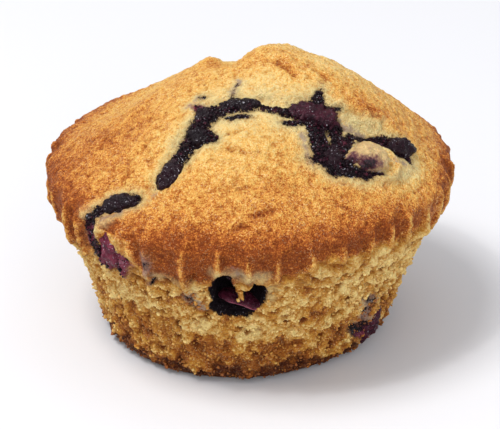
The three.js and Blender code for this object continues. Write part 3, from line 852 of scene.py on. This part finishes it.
class Paint:
    """Adds nodes to one material and joins them up."""

    def __init__(self, name):
        self.material = bpy.data.materials.new(name)
        self.material.use_nodes = True
        self.tree = self.material.node_tree
        self.shader = self.tree.nodes["Principled BSDF"]
        place = self.tree.nodes.new("ShaderNodeTexCoord")
        self.place = place.outputs["Object"]

    def join(self, socket, value):
        if isinstance(value, bpy.types.NodeSocket):
            self.tree.links.new(value, socket)
        elif socket.type == "RGBA":
            socket.default_value = (*value, 1.0)
        else:
            socket.default_value = value

    def set(self, **sockets):
        """Sets sockets of the surface shader, named with underscores for spaces."""
        for name, value in sockets.items():
            self.join(self.shader.inputs[name.replace("_", " ")], value)

    def noise(self, size, detail=2.0, roughness=0.5):
        """Cloudy noise from 0 to 1, about size millimetres across."""
        made = self.tree.nodes.new("ShaderNodeTexNoise")
        self.join(made.inputs["Vector"], self.place)
        self.join(made.inputs["Scale"], 1.0 / (size * MM))
        self.join(made.inputs["Detail"], detail)
        self.join(made.inputs["Roughness"], roughness)
        return made.outputs["Fac"]

    def cells(self, size):
        """Distance to scattered centres, size millimetres apart."""
        made = self.tree.nodes.new("ShaderNodeTexVoronoi")
        self.join(made.inputs["Vector"], self.place)
        self.join(made.inputs["Scale"], 1.0 / (size * MM))
        return made.outputs["Distance"]

    def mark(self, name):
        made = self.tree.nodes.new("ShaderNodeAttribute")
        made.attribute_name = name
        return made.outputs["Fac"]

    def maths(self, operation, first, second):
        made = self.tree.nodes.new("ShaderNodeMath")
        made.operation = operation
        self.join(made.inputs[0], first)
        self.join(made.inputs[1], second)
        return made.outputs[0]

    def times(self, first, second):
        return self.maths("MULTIPLY", first, second)

    def around(self, value, spread):
        """Noise from 0 to 1 made to swing spread either side of 0."""
        return self.times(self.maths("SUBTRACT", value, 0.5), 2.0 * spread)

    def total(self, *values):
        result = values[0]
        for value in values[1:]:
            result = self.maths("ADD", result, value)
        return result

    def step(self, value, low, high, start=0.0, end=1.0):
        made = self.tree.nodes.new("ShaderNodeMapRange")
        made.interpolation_type = "SMOOTHSTEP"
        for name, part in (
            ("Value", value),
            ("From Min", low),
            ("From Max", high),
            ("To Min", start),
            ("To Max", end),
        ):
            self.join(made.inputs[name], part)
        return made.outputs["Result"]

    def mix(self, share, first, second, blend="MIX"):
        made = self.tree.nodes.new("ShaderNodeMix")
        made.data_type = "RGBA"
        made.blend_type = blend
        self.join(made.inputs[0], share)
        self.join(made.inputs[6], first)
        self.join(made.inputs[7], second)
        return made.outputs[2]

    def ramp(self, value, *stops):
        """Colours along value: a place from 0 to 1 and a colour for each stop."""
        made = self.tree.nodes.new("ShaderNodeValToRGB")
        elements = made.color_ramp.elements
        for place, _ in stops[2:]:
            elements.new(place)
        for element, (place, colour) in zip(elements, stops):
            element.position = place
            element.color = (*colour, 1.0)
        self.join(made.inputs["Fac"], value)
        return made.outputs["Color"]

    def bump(self, height, distance, strength=1.0):
        made = self.tree.nodes.new("ShaderNodeBump")
        self.join(made.inputs["Height"], height)
        self.join(made.inputs["Distance"], distance * MM)
        self.join(made.inputs["Strength"], strength)
        return made.outputs["Normal"]


def juice_ramp(paint, plum, berry):
    """Cooked juice and skin, from black over plum to mauve where it is thin."""
    return paint.ramp(
        plum,
        (0.0, berry.juice_colour),
        (0.35, berry.skin_colour),
        (0.62, berry.plum_colour),
        (0.82, berry.crimson_colour),
        (1.0, berry.mauve_colour),
    )


def wet_glints(paint, colour, amount):
    """Small bright reflections of a window on the wet knobs, in patches."""
    spark = paint.step(paint.noise(0.36, 1.0, 0.6), 0.64, 0.73)
    patch = paint.step(paint.noise(1.7, 2.0), 0.43, 0.57)
    share = paint.times(paint.times(spark, patch), amount)
    return paint.mix(share, colour, GLINT_COLOUR)


def cake_material(settings, berry):
    paint = Paint("baked_cake")
    cloud = paint.noise(3.0, 3.0, 0.6)
    cobble = paint.noise(1.1, 3.0, 0.65)
    speck = paint.noise(0.5, 2.0, 0.6)
    grit = paint.noise(0.22, 1.0)
    # Browning and random tone; where the bump's cobbles and specks are low, the colour is browner as painted
    # shade
    toast_and_painted_shading = paint.total(
        paint.mark("toast_and_painted_shading"),
        paint.around(cloud, 0.14),
        paint.around(cobble, -0.16),
        paint.around(speck, -0.36),
        paint.around(paint.noise(0.36, 1.0), -0.26),
        paint.around(grit, 0.46),
    )
    crust = paint.ramp(
        toast_and_painted_shading,
        (0.0, settings.pale_crust),
        (0.3, settings.light_crust),
        (0.55, settings.golden_crust),
        (0.78, settings.brown_crust),
        (1.0, settings.dark_crust),
    )
    # The crumb's browning and random tone, browner where the bump's cobbles and specks are low, as painted
    # shade
    crumb_toast_and_painted_shading = paint.total(
        paint.mark("toast_and_painted_shading"),
        paint.around(cloud, 0.14),
        paint.around(cobble, -0.24),
        paint.around(speck, -0.26),
        paint.around(grit, 0.16),
    )
    crumb = paint.ramp(
        crumb_toast_and_painted_shading,
        (0.0, settings.pale_crumb),
        (0.36, settings.golden_crumb),
        (0.66, settings.brown_crumb),
        (1.0, settings.base_brown),
    )
    border = paint.total(paint.mark("crust"), paint.around(speck, 0.4))
    colour = paint.mix(paint.step(border, 0.25, 0.75), crumb, crust)
    tinted = paint.step(paint.total(paint.mark("halo"), paint.around(cobble, 0.3)), 0.05, 1.0, 0.0, 0.62)
    colour = paint.mix(tinted, colour, settings.halo_colour)
    recess = paint.step(paint.total(cobble, speck), 1.02, 0.76, 0.0, 0.3)
    colour = paint.mix(recess, colour, RECESS_SHADE, "MULTIPLY")

    # Painted sparkle highlights in patches, dark specks, and painted shade in the cavities
    sparkle = paint.step(paint.noise(0.30, 1.0), 0.58, 0.70)
    glitter = paint.times(sparkle, paint.step(cloud, 0.36, 0.6))
    glitter = paint.times(glitter, paint.step(paint.mark("toast_and_painted_shading"), 1.0, 0.5, 0.16, 0.50))
    colour = paint.mix(glitter, colour, PAINTED_SPARKLE_COLOUR)
    pore = paint.step(paint.total(paint.cells(1.9), paint.around(speck, 0.08)), 0.14, 0.05)
    colour = paint.mix(paint.times(pore, 0.45), colour, PORE_COLOUR)
    deep = paint.times(paint.mark("cavity"), 0.8)
    colour = paint.mix(deep, colour, CAVITY_SHADE, "MULTIPLY")

    # Stain soaks in softly, juice has a ragged edge
    ragged = paint.total(paint.around(paint.noise(1.4, 3.0, 0.65), 0.5), paint.around(speck, 0.34))
    stained = paint.step(paint.total(paint.mark("stain"), ragged), 0.36, 0.90, 0.0, 0.75)
    mauve = paint.total(paint.mark("plum"), paint.around(paint.noise(1.2, 3.0), 0.5))
    soaked_in = paint.mix(paint.step(mauve, 0.3, 0.9), berry.stain_colour, berry.mauve_colour)
    colour = paint.mix(stained, colour, soaked_in)
    frayed = paint.total(paint.around(paint.noise(0.9, 4.0, 0.75), 0.36), paint.around(grit, 0.2))
    edge = paint.total(paint.mark("juice"), frayed)
    soaked = paint.step(edge, 0.14, 0.48, 0.0, 0.6)
    colour = paint.mix(soaked, colour, berry.stain_colour, "MULTIPLY")
    wet = paint.step(edge, 0.43, 0.53)
    thin = paint.total(paint.times(paint.mark("plum"), 0.85), paint.around(paint.noise(1.3, 3.0), 0.5))
    pulp = wet_glints(paint, juice_ramp(paint, thin, berry), JUICE_GLINTS)
    pulp = paint.mix(paint.mark("hole"), pulp, berry.juice_colour)
    colour = paint.mix(wet, colour, pulp)

    shine = paint.times(wet, paint.step(paint.mark("hole"), 0.5, 0.0))
    height = paint.total(cobble, paint.times(speck, 0.9), paint.times(grit, 0.7))
    paint.set(
        Base_Color=colour,
        Roughness=paint.step(shine, 0.0, 1.0, 0.58, 0.22),
        Normal=paint.bump(height, 0.5, 1.0),
        Specular_IOR_Level=0.14,
        Subsurface_Weight=0.10,
        Subsurface_Radius=(1.0, 0.45, 0.2),
        Subsurface_Scale=0.0014,
    )
    return paint.material


def berry_material(name, glints, berry):
    paint = Paint(name)
    plum = paint.total(paint.mark("plum"), paint.around(paint.noise(1.3, 3.0, 0.65), 0.36))
    colour = wet_glints(paint, juice_ramp(paint, plum, berry), glints)
    height = paint.total(paint.noise(0.9, 3.0, 0.7), paint.times(paint.cells(0.8), -0.5))
    paint.set(
        Base_Color=colour,
        Roughness=paint.step(paint.noise(0.8, 2.0), 0.3, 0.7, 0.14, 0.36),
        Normal=paint.bump(height, 0.45, 1.0),
        Specular_IOR_Level=0.12,
    )
    return paint.material


def covered_material(berry):
    paint = Paint("covered_berry")
    fleck = paint.noise(0.45, 2.0, 0.6)
    blotch = paint.noise(1.6, 3.0, 0.65)
    coat = paint.total(paint.mark("coat"), paint.around(blotch, 0.42), paint.around(fleck, -0.36))
    colour = paint.ramp(
        coat,
        (0.0, berry.juice_colour),
        (0.24, berry.plum_colour),
        (0.44, THIN_COAT),
        (0.66, COAT),
        (1.0, THICK_COAT),
    )
    colour = wet_glints(paint, colour, COVERED_GLINTS)
    bump = paint.bump(paint.total(paint.noise(0.9, 3.0, 0.6), fleck), 0.30, 1.0)
    paint.set(
        Base_Color=colour,
        Roughness=0.42,
        Normal=bump,
        Specular_IOR_Level=0.3,
        Subsurface_Weight=0.1,
        Subsurface_Scale=0.001,
    )
    return paint.material


def crumb_material(settings):
    paint = Paint("loose_crumb")
    tone = paint.total(paint.mark("tone"), paint.around(paint.noise(0.5, 2.0), 0.3))
    colour = paint.ramp(
        tone,
        (0.0, settings.base_brown),
        (0.3, settings.brown_crumb),
        (0.62, settings.golden_crumb),
        (1.0, settings.pale_crumb),
    )
    bump = paint.bump(paint.noise(0.35, 2.0), 0.12, 0.8)
    paint.set(
        Base_Color=colour,
        Roughness=0.7,
        Normal=bump,
        Subsurface_Weight=0.12,
        Subsurface_Radius=(1.0, 0.45, 0.2),
        Subsurface_Scale=0.0016,
    )
    return paint.material


def whole_cake(settings):
    """A ball drawn out to the cake's form with its relief, and the marks that colour it."""
    cake = new_ball(CAKE_DETAIL)
    ball = coordinates(cake.data)
    ball /= np.linalg.norm(ball, axis=1)[:, None]
    azimuth = np.arctan2(ball[:, 1], ball[:, 0])
    travel = travel_of(ball[:, 2])
    points = surface_point(azimuth, travel)
    set_coordinates(cake.data, points)
    outward = vertex_normals(cake.data)
    relief, marks = cake_relief(points, azimuth, travel, settings)
    shaped = points + outward * relief[:, None]
    shaped[:, 2] = np.maximum(shaped[:, 2], 0.0)
    set_coordinates(cake.data, (shaped + PLAN_SHIFT) * MM)
    for name, values in marks.items():
        store(cake.data, name, values)
    return cake, travel


def keep_normals(mesh):
    """Keeps the whole cake's shading where it is split, so that no seam shows."""
    kept = mesh.attributes.new("whole_normal", "FLOAT_VECTOR", "POINT")
    kept.data.foreach_set("vector", vertex_normals(mesh).astype(np.float32).ravel())


def without_jutting_faces(mesh, low):
    """Gives each face that juts into the other half to that half, so that both halves close cleanly."""
    corner_edges = read(mesh.loops, "edge_index", kind=np.int32)
    pairs = (np.argsort(corner_edges, kind="stable") // 3).reshape(-1, 2)
    for side in (True, False) * 4:
        differs = low[pairs[:, 0]] != low[pairs[:, 1]]
        jutting = np.bincount(pairs[differs].ravel(), minlength=len(low)) >= 2
        low = np.where(jutting & (low == side), not side, low)
    return low


def close_and_shade(piece):
    """Closes the open end of one half inside the cake, and gives back the whole cake's shading."""
    activate(piece)
    bpy.ops.object.mode_set(mode="EDIT")
    bpy.ops.mesh.select_mode(type="EDGE")
    bpy.ops.mesh.select_all(action="DESELECT")
    bpy.ops.mesh.select_non_manifold(extend=False)
    bpy.ops.mesh.edge_face_add()
    bpy.ops.mesh.quads_convert_to_tris()
    bpy.ops.object.mode_set(mode="OBJECT")
    shade_smooth(piece.data)
    kept = read(piece.data.attributes["whole_normal"].data, "vector", 3)
    piece.data.attributes.remove(piece.data.attributes["whole_normal"])
    piece.data.normals_split_custom_set_from_vertices(kept.tolist())


def colour_setting(name, description, *parts):
    """A colour that can be set, whose default is given as seen on screen, 0 to 255."""
    return FloatVectorProperty(name=name, description=description, subtype="COLOR", default=linear(*parts))


class CakeSettings(bpy.types.PropertyGroup):
    """The cake's relief and colours."""

    pleat_depth: FloatProperty(
        name="Pleat depth",
        description="Depth of the hollows that the case's pleats left in the crust's edge",
        default=0.0014,
        unit="LENGTH",
    )
    crust_grain: FloatProperty(
        name="Crust grain",
        description="Height of the grain on the crust",
        default=0.00028,
        unit="LENGTH",
    )
    crumb_grain: FloatProperty(
        name="Crumb grain",
        description="Height of the torn clumps of crumb on the side",
        default=0.00095,
        unit="LENGTH",
    )
    pale_crust: colour_setting(
        "Pale crust", "Colour of the crust that opened last, beside the crack", 226, 198, 136
    )
    light_crust: colour_setting("Light crust", "Colour of lightly baked crust", 226, 180, 98)
    golden_crust: colour_setting("Golden crust", "Colour of golden crust", 212, 146, 66)
    brown_crust: colour_setting("Brown crust", "Colour of well baked crust", 178, 98, 36)
    dark_crust: colour_setting("Dark crust", "Colour in the pressed hollows of the crust's edge", 130, 60, 16)
    halo_colour: colour_setting("Tinted batter", "Colour of the pale batter beside the juice", 196, 182, 132)
    pale_crumb: colour_setting("Pale crumb", "Colour of the lightest crumb of the side", 236, 206, 134)
    golden_crumb: colour_setting("Golden crumb", "Colour of most of the side's crumb", 198, 141, 56)
    # Brown crumb also serves as painted shade in the crumb's air pits
    brown_crumb: colour_setting(
        "Brown crumb", "Colour of the toasted hollows in the side's crumb", 160, 92, 30
    )
    base_brown: colour_setting("Base brown", "Colour of the browned edge of the base", 74, 30, 10)


class BerrySettings(bpy.types.PropertyGroup):
    """The berries' colours and skins."""

    juice_colour: colour_setting("Juice", "Colour of the cooked juice and pulp", 18, 8, 14)
    skin_colour: colour_setting("Skin", "Colour of the dark berry skin", 34, 12, 22)
    plum_colour: colour_setting("Plum", "Colour where skin or juice is thin", 78, 28, 44)
    crimson_colour: colour_setting("Crimson", "Colour of thin wet juice over crumb", 114, 42, 60)
    mauve_colour: colour_setting("Mauve", "Colour of crumb soaked with thin juice", 142, 82, 96)
    stain_colour: colour_setting("Stain", "Colour of crumb that took up a little juice", 140, 118, 112)
    wrinkle: FloatProperty(
        name="Wrinkle",
        description="Depth of the wrinkles in a berry's skin, as a share of its half width",
        default=0.32,
        subtype="FACTOR",
        min=0.0,
        max=1.0,
    )


class CrumbSettings(bpy.types.PropertyGroup):
    """Loose crumbs and bits of pulp."""

    crumb_count: IntProperty(
        name="Crumbs",
        description="Number of torn crumbs on the side",
        default=7500,
        min=0,
    )
    crumb_size: FloatProperty(
        name="Crumb size",
        description="Length of a large crumb",
        default=0.001,
        unit="LENGTH",
    )
    pulp_count: IntProperty(
        name="Bits of pulp",
        description="Number of bits of berry pulp along the crack",
        default=1500,
        min=0,
    )
    pulp_size: FloatProperty(
        name="Pulp size",
        description="Length of a large bit of pulp",
        default=0.0009,
        unit="LENGTH",
    )


class StageSettings(bpy.types.PropertyGroup):
    """Floor, lights and camera."""

    floor_size: FloatProperty(
        name="Floor size",
        description="Side of the square floor",
        default=6.0,
        unit="LENGTH",
    )
    floor_colour: colour_setting("Floor colour", "Colour of the floor", 217, 217, 221)
    key_power: FloatProperty(
        name="Key light",
        description="Power of the soft light from the upper left",
        default=5.7,
        unit="POWER",
    )
    fill_power: FloatProperty(
        name="Fill light",
        description="Power of the weak light from the front",
        default=2.4,
        unit="POWER",
    )
    sky_strength: FloatProperty(
        name="Sky",
        description="Strength of the even light from all round",
        default=0.76,
        min=0.0,
    )
    camera_distance: FloatProperty(
        name="Camera distance",
        description="Distance from the camera to the middle of the muffin",
        default=0.48,
        unit="LENGTH",
    )
    camera_elevation: FloatProperty(
        name="Camera elevation",
        description="Angle of the camera above the floor",
        default=math.radians(26.0),
        unit="ROTATION",
    )


class MUFFIN_OT_cake(bpy.types.Operator):
    """Makes the cake as its crust and its crumb side, two closed pieces"""

    bl_idname = "muffin.cake"
    bl_label = "Cake"

    def execute(self, context):
        settings = context.scene.muffin_cake
        cake, travel = whole_cake(settings)
        mesh = cake.data
        keep_normals(mesh)
        seam = 2.0 - SEAM_HEIGHT / CROWN_HEIGHT
        corners = read(mesh.loops, "vertex_index", kind=np.int32).reshape(-1, 3)
        low = without_jutting_faces(mesh, travel[corners].mean(1) > seam)
        activate(cake)
        bpy.ops.object.mode_set(mode="EDIT")
        bpy.ops.mesh.select_mode(type="FACE")
        bpy.ops.mesh.select_all(action="DESELECT")
        bpy.ops.object.mode_set(mode="OBJECT")
        mesh.polygons.foreach_set("select", low)
        bpy.ops.object.mode_set(mode="EDIT")
        bpy.ops.mesh.separate(type="SELECTED")
        bpy.ops.object.mode_set(mode="OBJECT")
        crumb = next(piece for piece in context.selected_objects if piece is not cake)
        material = cake_material(settings, context.scene.muffin_berry)
        for piece, name in ((cake, "cake_crust"), (crumb, "cake_crumb_side")):
            close_and_shade(piece)
            finish_piece(piece, name, material, ("muffin",))
        return {"FINISHED"}


def node_axes(node):
    """Middle, directions and half lengths of a CAD berry, from long to short, in metres."""
    places = coordinates(node.data)
    middle = places.mean(0)
    _, _, directions = np.linalg.svd(places - middle, full_matrices=False)
    if np.linalg.det(directions) < 0:
        directions[2] *= -1
    spans = (places - middle) @ directions.T
    centre = middle + ((spans.max(0) + spans.min(0)) / 2) @ directions
    return centre, directions, (spans.max(0) - spans.min(0)) / 2


def berry_ball(node, lumpiness, wrinkle, seed):
    """A berry's body in its CAD place, with collapsed, wrinkled skin."""
    centre, directions, half = node_axes(node)
    piece = new_ball(BERRY_DETAIL)
    ball = coordinates(piece.data)
    shaped = ball * half / MM
    swell = lumpiness * fractal(shaped + 40.0 + seed, 2.6, seed)
    knob, _ = grains(shaped + 40.0, 1.4, seed + 5)
    swell += wrinkle * (0.5 - knob) + 0.3 * wrinkle * fractal(shaped + 40.0, 0.7, seed + 9, 2)
    shaped = shaped * (1.0 + swell)[:, None]
    set_coordinates(piece.data, (shaped @ directions) * MM + centre)
    shade_smooth(piece.data)
    return piece, ball


# How plum-coloured each burst berry is, from black to plum
BURST_BERRIES = {
    "berry_crack_left_low": 0.24,
    "berry_crack_left_mid": 0.05,
    "berry_crack_left_top": 0.1,
    "berry_crack_upper": 0.05,
    "berry_crack_middle": 0.42,
    "berry_crack_middle_low": 0.25,
    "berry_right": 0.22,
    "berry_rim_left": 0.12,
    "berry_rim_split": 0.72,
    "berry_low_right": 0.5,
    "berry_back_dome": 0.2,
    "berry_back_wall": 0.4,
}


class MUFFIN_OT_berries(bpy.types.Operator):
    """Makes the burst berries along the crack, on the rim and in the side"""

    bl_idname = "muffin.berries"
    bl_label = "Burst berries"

    def execute(self, context):
        berry = context.scene.muffin_berry
        material = berry_material("burst_berry", BERRY_GLINTS, berry)
        for number, (name, plum) in enumerate(BURST_BERRIES.items()):
            node = frame["nodes"][name]
            piece, _ = berry_ball(node, lumpiness=0.24, wrinkle=berry.wrinkle, seed=200 + 11 * number)
            store(piece.data, "plum", np.full(len(piece.data.vertices), plum))
            finish_piece(piece, name.replace("berry", "burst_berry"), material, (name,))
        return {"FINISHED"}


class MUFFIN_OT_covered_berry(bpy.types.Operator):
    """Makes the berry under a thin coat of batter, dark only at its foot"""

    bl_idname = "muffin.covered_berry"
    bl_label = "Covered berry"

    def execute(self, context):
        piece, _ = berry_ball(frame["nodes"]["berry_crumb_covered"], lumpiness=0.18, wrinkle=0.14, seed=400)
        places = coordinates(piece.data) / MM
        low = places[:, 1].min()
        coat = smooth_step(low, low + 2.6, places[:, 1] + 0.7 * lumps(places, 1.6, 401))
        store(piece.data, "coat", 0.06 + 0.74 * coat)
        material = covered_material(context.scene.muffin_berry)
        finish_piece(piece, "covered_berry", material, ("berry_crumb_covered",))
        return {"FINISHED"}


# The torn skin in the hole: its thickness, and its line from the left end to the right, along and up
SKIN_THICKNESS = 2.3
SKIN_LINE = ((-1.0, -0.6), (-0.5, -0.3), (0.25, -1.4), (0.6, -1.5), (1.0, -1.0))


class MUFFIN_OT_hole_skin(bpy.types.Operator):
    """Makes the torn berry skin that lies curled in the hole in the front"""

    bl_idname = "muffin.hole_skin"
    bl_label = "Skin in the hole"

    def execute(self, context):
        berry = context.scene.muffin_berry
        node = frame["nodes"]["berry_in_hole"]
        piece, ball = berry_ball(node, lumpiness=0.0, wrinkle=0.0, seed=500)
        centre, directions, half = node_axes(node)
        places = (coordinates(piece.data) - centre) / MM
        across = places[:, 0] / (half[0] / MM)
        upward = ball @ directions[:, 2]
        low, high = np.percentile(places[:, 2], (2, 98))
        places[:, 2] *= SKIN_THICKNESS / (high - low)
        curve = np.polynomial.Polynomial.fit(*np.array(SKIN_LINE).T, 3)
        places[:, 2] += curve(across) + 0.12 * fractal(places, 1.5, 501)
        places[:, 1] += 0.35 * np.exp(-(((upward + 0.3) / 0.2) ** 2)) + 0.5 * np.cos(1.5 * math.pi * across)
        set_coordinates(piece.data, places * MM + centre)
        # The plum value rises to a lighter band along the skin's lower edge, a painted highlight
        store(piece.data, "plum", 0.56 + 0.5 * np.exp(-(((upward + 0.55) / 0.16) ** 2)))
        material = berry_material("berry_skin", SKIN_GLINTS, berry)
        finish_piece(piece, "skin_in_hole", material, ("berry_in_hole",))
        return {"FINISHED"}


def random_turns(count, draw):
    """Rotation matrices that turn things any way."""
    quaternion = draw.normal(size=(count, 4))
    w, x, y, z = (quaternion / np.linalg.norm(quaternion, axis=1)[:, None]).T
    return np.array(
        (
            (1 - 2 * (y * y + z * z), 2 * (x * y - z * w), 2 * (x * z + y * w)),
            (2 * (x * y + z * w), 1 - 2 * (x * x + z * z), 2 * (y * z - x * w)),
            (2 * (x * z - y * w), 2 * (y * z + x * w), 1 - 2 * (x * x + y * y)),
        )
    ).transpose(2, 0, 1)


def scatter(name, places, sizes, draw):
    """One mesh of many small lumps of twenty faces, each turned, squashed and roughened its own way."""
    shape = new_ball(1, 0.5)
    corners = coordinates(shape.data)
    faces = np.array([tuple(face.vertices) for face in shape.data.polygons])
    bpy.data.objects.remove(shape)
    count = len(places)
    rough = 1.0 + draw.uniform(-0.34, 0.34, (count, len(corners), 1))
    squash = draw.uniform(0.5, 1.0, (count, 1, 3))
    local = (corners[None] * rough * squash * sizes[:, None, None]) @ random_turns(count, draw)
    vertices = (local + places[:, None, :]).reshape(-1, 3)
    indices = (faces[None] + (np.arange(count) * len(corners))[:, None, None]).reshape(-1, 3)
    mesh = bpy.data.meshes.new(name)
    mesh.vertices.add(len(vertices))
    mesh.vertices.foreach_set("co", vertices.astype(np.float32).ravel())
    mesh.loops.add(indices.size)
    mesh.loops.foreach_set("vertex_index", indices.astype(np.int32).ravel())
    mesh.polygons.add(len(indices))
    mesh.polygons.foreach_set("loop_start", np.arange(0, indices.size, 3, dtype=np.int32))
    shade_smooth(mesh)
    mesh.update(calc_edges=True)
    piece = bpy.data.objects.new(name, mesh)
    bpy.context.scene.collection.objects.link(piece)
    return piece, len(corners)


class MUFFIN_OT_crumbs(bpy.types.Operator):
    """Scatters torn crumbs over the side"""

    bl_idname = "muffin.crumbs"
    bl_label = "Crumbs"

    def execute(self, context):
        settings = context.scene.muffin_crumbs
        draw = np.random.default_rng(CRUMB_SEED)
        side = bpy.data.objects["cake_crumb_side"].data
        places = coordinates(side)
        outward = vertex_normals(side)
        bare = (1.0 - marks_of(side, "crust")) * (marks_of(side, "hole") <= 0.0)
        bare = bare * (places[:, 2] > CRUMB_MIN_HEIGHT * MM)
        bare *= np.hypot(places[:, 0], places[:, 1]) > CRUMB_MIN_RADIUS * MM
        chosen = draw.choice(len(places), settings.crumb_count, p=bare / bare.sum())
        sizes = settings.crumb_size * (0.4 + 0.6 * draw.random(len(chosen)) ** 2)
        lifted = places[chosen] + outward[chosen] * (sizes * draw.uniform(-0.2, 0.22, len(chosen)))[:, None]
        lifted[:, 2] = np.maximum(lifted[:, 2], sizes * 0.6)
        piece, corners = scatter("side_crumbs", lifted, sizes, draw)
        tone = 0.75 - 0.85 * (marks_of(side, "toast_and_painted_shading")[chosen] - 0.35) + draw.uniform(-0.12, 0.12, len(chosen))
        tone -= 0.5 * smooth_step(0.35, 0.7, marks_of(side, "stain")[chosen])
        store(piece.data, "tone", np.repeat(np.clip(tone, 0, 1), corners))
        finish_piece(piece, "side_crumbs", crumb_material(context.scene.muffin_cake))
        return {"FINISHED"}


class MUFFIN_OT_pulp(bpy.types.Operator):
    """Scatters bits of berry pulp along the crack and the rim"""

    bl_idname = "muffin.pulp"
    bl_label = "Berry pulp"

    def execute(self, context):
        settings = context.scene.muffin_crumbs
        draw = np.random.default_rng(PULP_SEED)
        crust = bpy.data.objects["cake_crust"].data
        places = coordinates(crust)
        outward = vertex_normals(crust)
        juicy = smooth_step(0.45, 0.75, marks_of(crust, "juice").astype(float))
        chosen = draw.choice(len(places), settings.pulp_count, p=juicy / juicy.sum())
        sizes = settings.pulp_size * (0.4 + 0.6 * draw.random(len(chosen)) ** 1.5)
        lifted = places[chosen] + outward[chosen] * (sizes * 0.1)[:, None]
        piece, corners = scatter("berry_pulp", lifted, sizes, draw)
        store(piece.data, "plum", np.repeat(draw.uniform(0.0, 0.5, len(chosen)), corners))
        finish_piece(piece, "berry_pulp", bpy.data.materials["burst_berry"])
        return {"FINISHED"}


def soft_light(name, middle, toward, distance, width, power, colour=(1.0, 1.0, 1.0)):
    """Makes a round soft light that shines on the middle from the side that toward points to."""
    toward = Vector(toward).normalized()
    bpy.ops.object.light_add(type="AREA", location=middle + toward * distance)
    light = bpy.context.active_object
    light.name = name
    light.data.shape = "DISK"
    light.data.size = width
    light.data.energy = power
    light.data.color = colour
    light.rotation_euler = (-toward).to_track_quat("-Z", "Y").to_euler()
    return light


class MUFFIN_OT_stage(bpy.types.Operator):
    """Makes the floor, the lights and the camera"""

    bl_idname = "muffin.stage"
    bl_label = "Stage"

    def execute(self, context):
        settings = context.scene.muffin_stage
        deselect_all()
        bpy.ops.mesh.primitive_plane_add(size=settings.floor_size)
        floor = context.active_object
        floor.name = "floor"
        paint = Paint("floor")
        paint.set(Base_Color=settings.floor_colour, Roughness=0.9, Specular_IOR_Level=0.1)
        floor.data.materials.append(paint.material)

        middle = Vector((PLAN_SHIFT[0] * MM, PLAN_SHIFT[1] * MM, MIDDLE_HEIGHT))
        key = soft_light(
            "key_light",
            middle,
            toward=(-0.38, -0.16, 0.92),
            distance=0.9,
            width=0.4,
            power=settings.key_power,
            colour=(1.0, 0.985, 0.96),
        )
        glint = soft_light(
            "glint_light", middle, toward=(-0.35, -0.25, 0.9), distance=0.8, width=0.06, power=0.8
        )
        fill = soft_light(
            "fill_light",
            middle,
            toward=(0.25, -0.9, 0.36),
            distance=1.0,
            width=0.7,
            power=settings.fill_power,
        )

        world = bpy.data.worlds.new("studio")
        world.use_nodes = True
        sky = world.node_tree.nodes["Background"]
        sky.inputs["Color"].default_value = (0.96, 0.98, 1.0, 1.0)
        sky.inputs["Strength"].default_value = settings.sky_strength
        context.scene.world = world
        context.scene.view_settings.view_transform = "Standard"

        elevation = settings.camera_elevation
        back = Vector((0.0, -math.cos(elevation), math.sin(elevation)))
        aside = Vector((CAMERA_ASIDE, 0.0, 0.0))
        bpy.ops.object.camera_add(location=middle + back * settings.camera_distance + aside)
        camera = context.active_object
        camera.name = "camera"
        camera.rotation_euler = (math.pi / 2 - elevation - CAMERA_DROP, 0.0, 0.0)
        camera.data.sensor_width = SENSOR_WIDTH
        camera.data.lens = SENSOR_WIDTH * FOCAL_PIXELS / PICTURE_PIXELS
        camera.data.clip_start = 0.01
        context.scene.camera = camera
        return {"FINISHED"}


STEPS = (
    MUFFIN_OT_cake,
    MUFFIN_OT_berries,
    MUFFIN_OT_covered_berry,
    MUFFIN_OT_hole_skin,
    MUFFIN_OT_crumbs,
    MUFFIN_OT_pulp,
    MUFFIN_OT_stage,
)
GROUPS = {
    "muffin_cake": CakeSettings,
    "muffin_berry": BerrySettings,
    "muffin_crumbs": CrumbSettings,
    "muffin_stage": StageSettings,
}


class MUFFIN_PT_panel(bpy.types.Panel):
    """Lists the muffin's settings and the operators that make it"""

    bl_label = "Berry Muffin"
    bl_idname = "MUFFIN_PT_panel"
    bl_space_type = "VIEW_3D"
    bl_region_type = "UI"
    bl_category = "Muffin"

    def draw(self, context):
        for name, group in GROUPS.items():
            box = self.layout.box()
            for setting in group.__annotations__:
                box.prop(getattr(context.scene, name), setting)
        for step in STEPS:
            self.layout.operator(step.bl_idname)


def register():
    for each in (*GROUPS.values(), *STEPS, MUFFIN_PT_panel):
        bpy.utils.register_class(each)
    for name, group in GROUPS.items():
        setattr(bpy.types.Scene, name, PointerProperty(type=group))


def unregister():
    for name in GROUPS:
        delattr(bpy.types.Scene, name)
    for each in reversed((*GROUPS.values(), *STEPS, MUFFIN_PT_panel)):
        bpy.utils.unregister_class(each)


def main():
    register()
    bpy.ops.muffin.cake()
    bpy.ops.muffin.berries()
    bpy.ops.muffin.covered_berry()
    bpy.ops.muffin.hole_skin()
    bpy.ops.muffin.crumbs()
    bpy.ops.muffin.pulp()
    bpy.ops.muffin.stage()


if __name__ == "__main__":
    main()
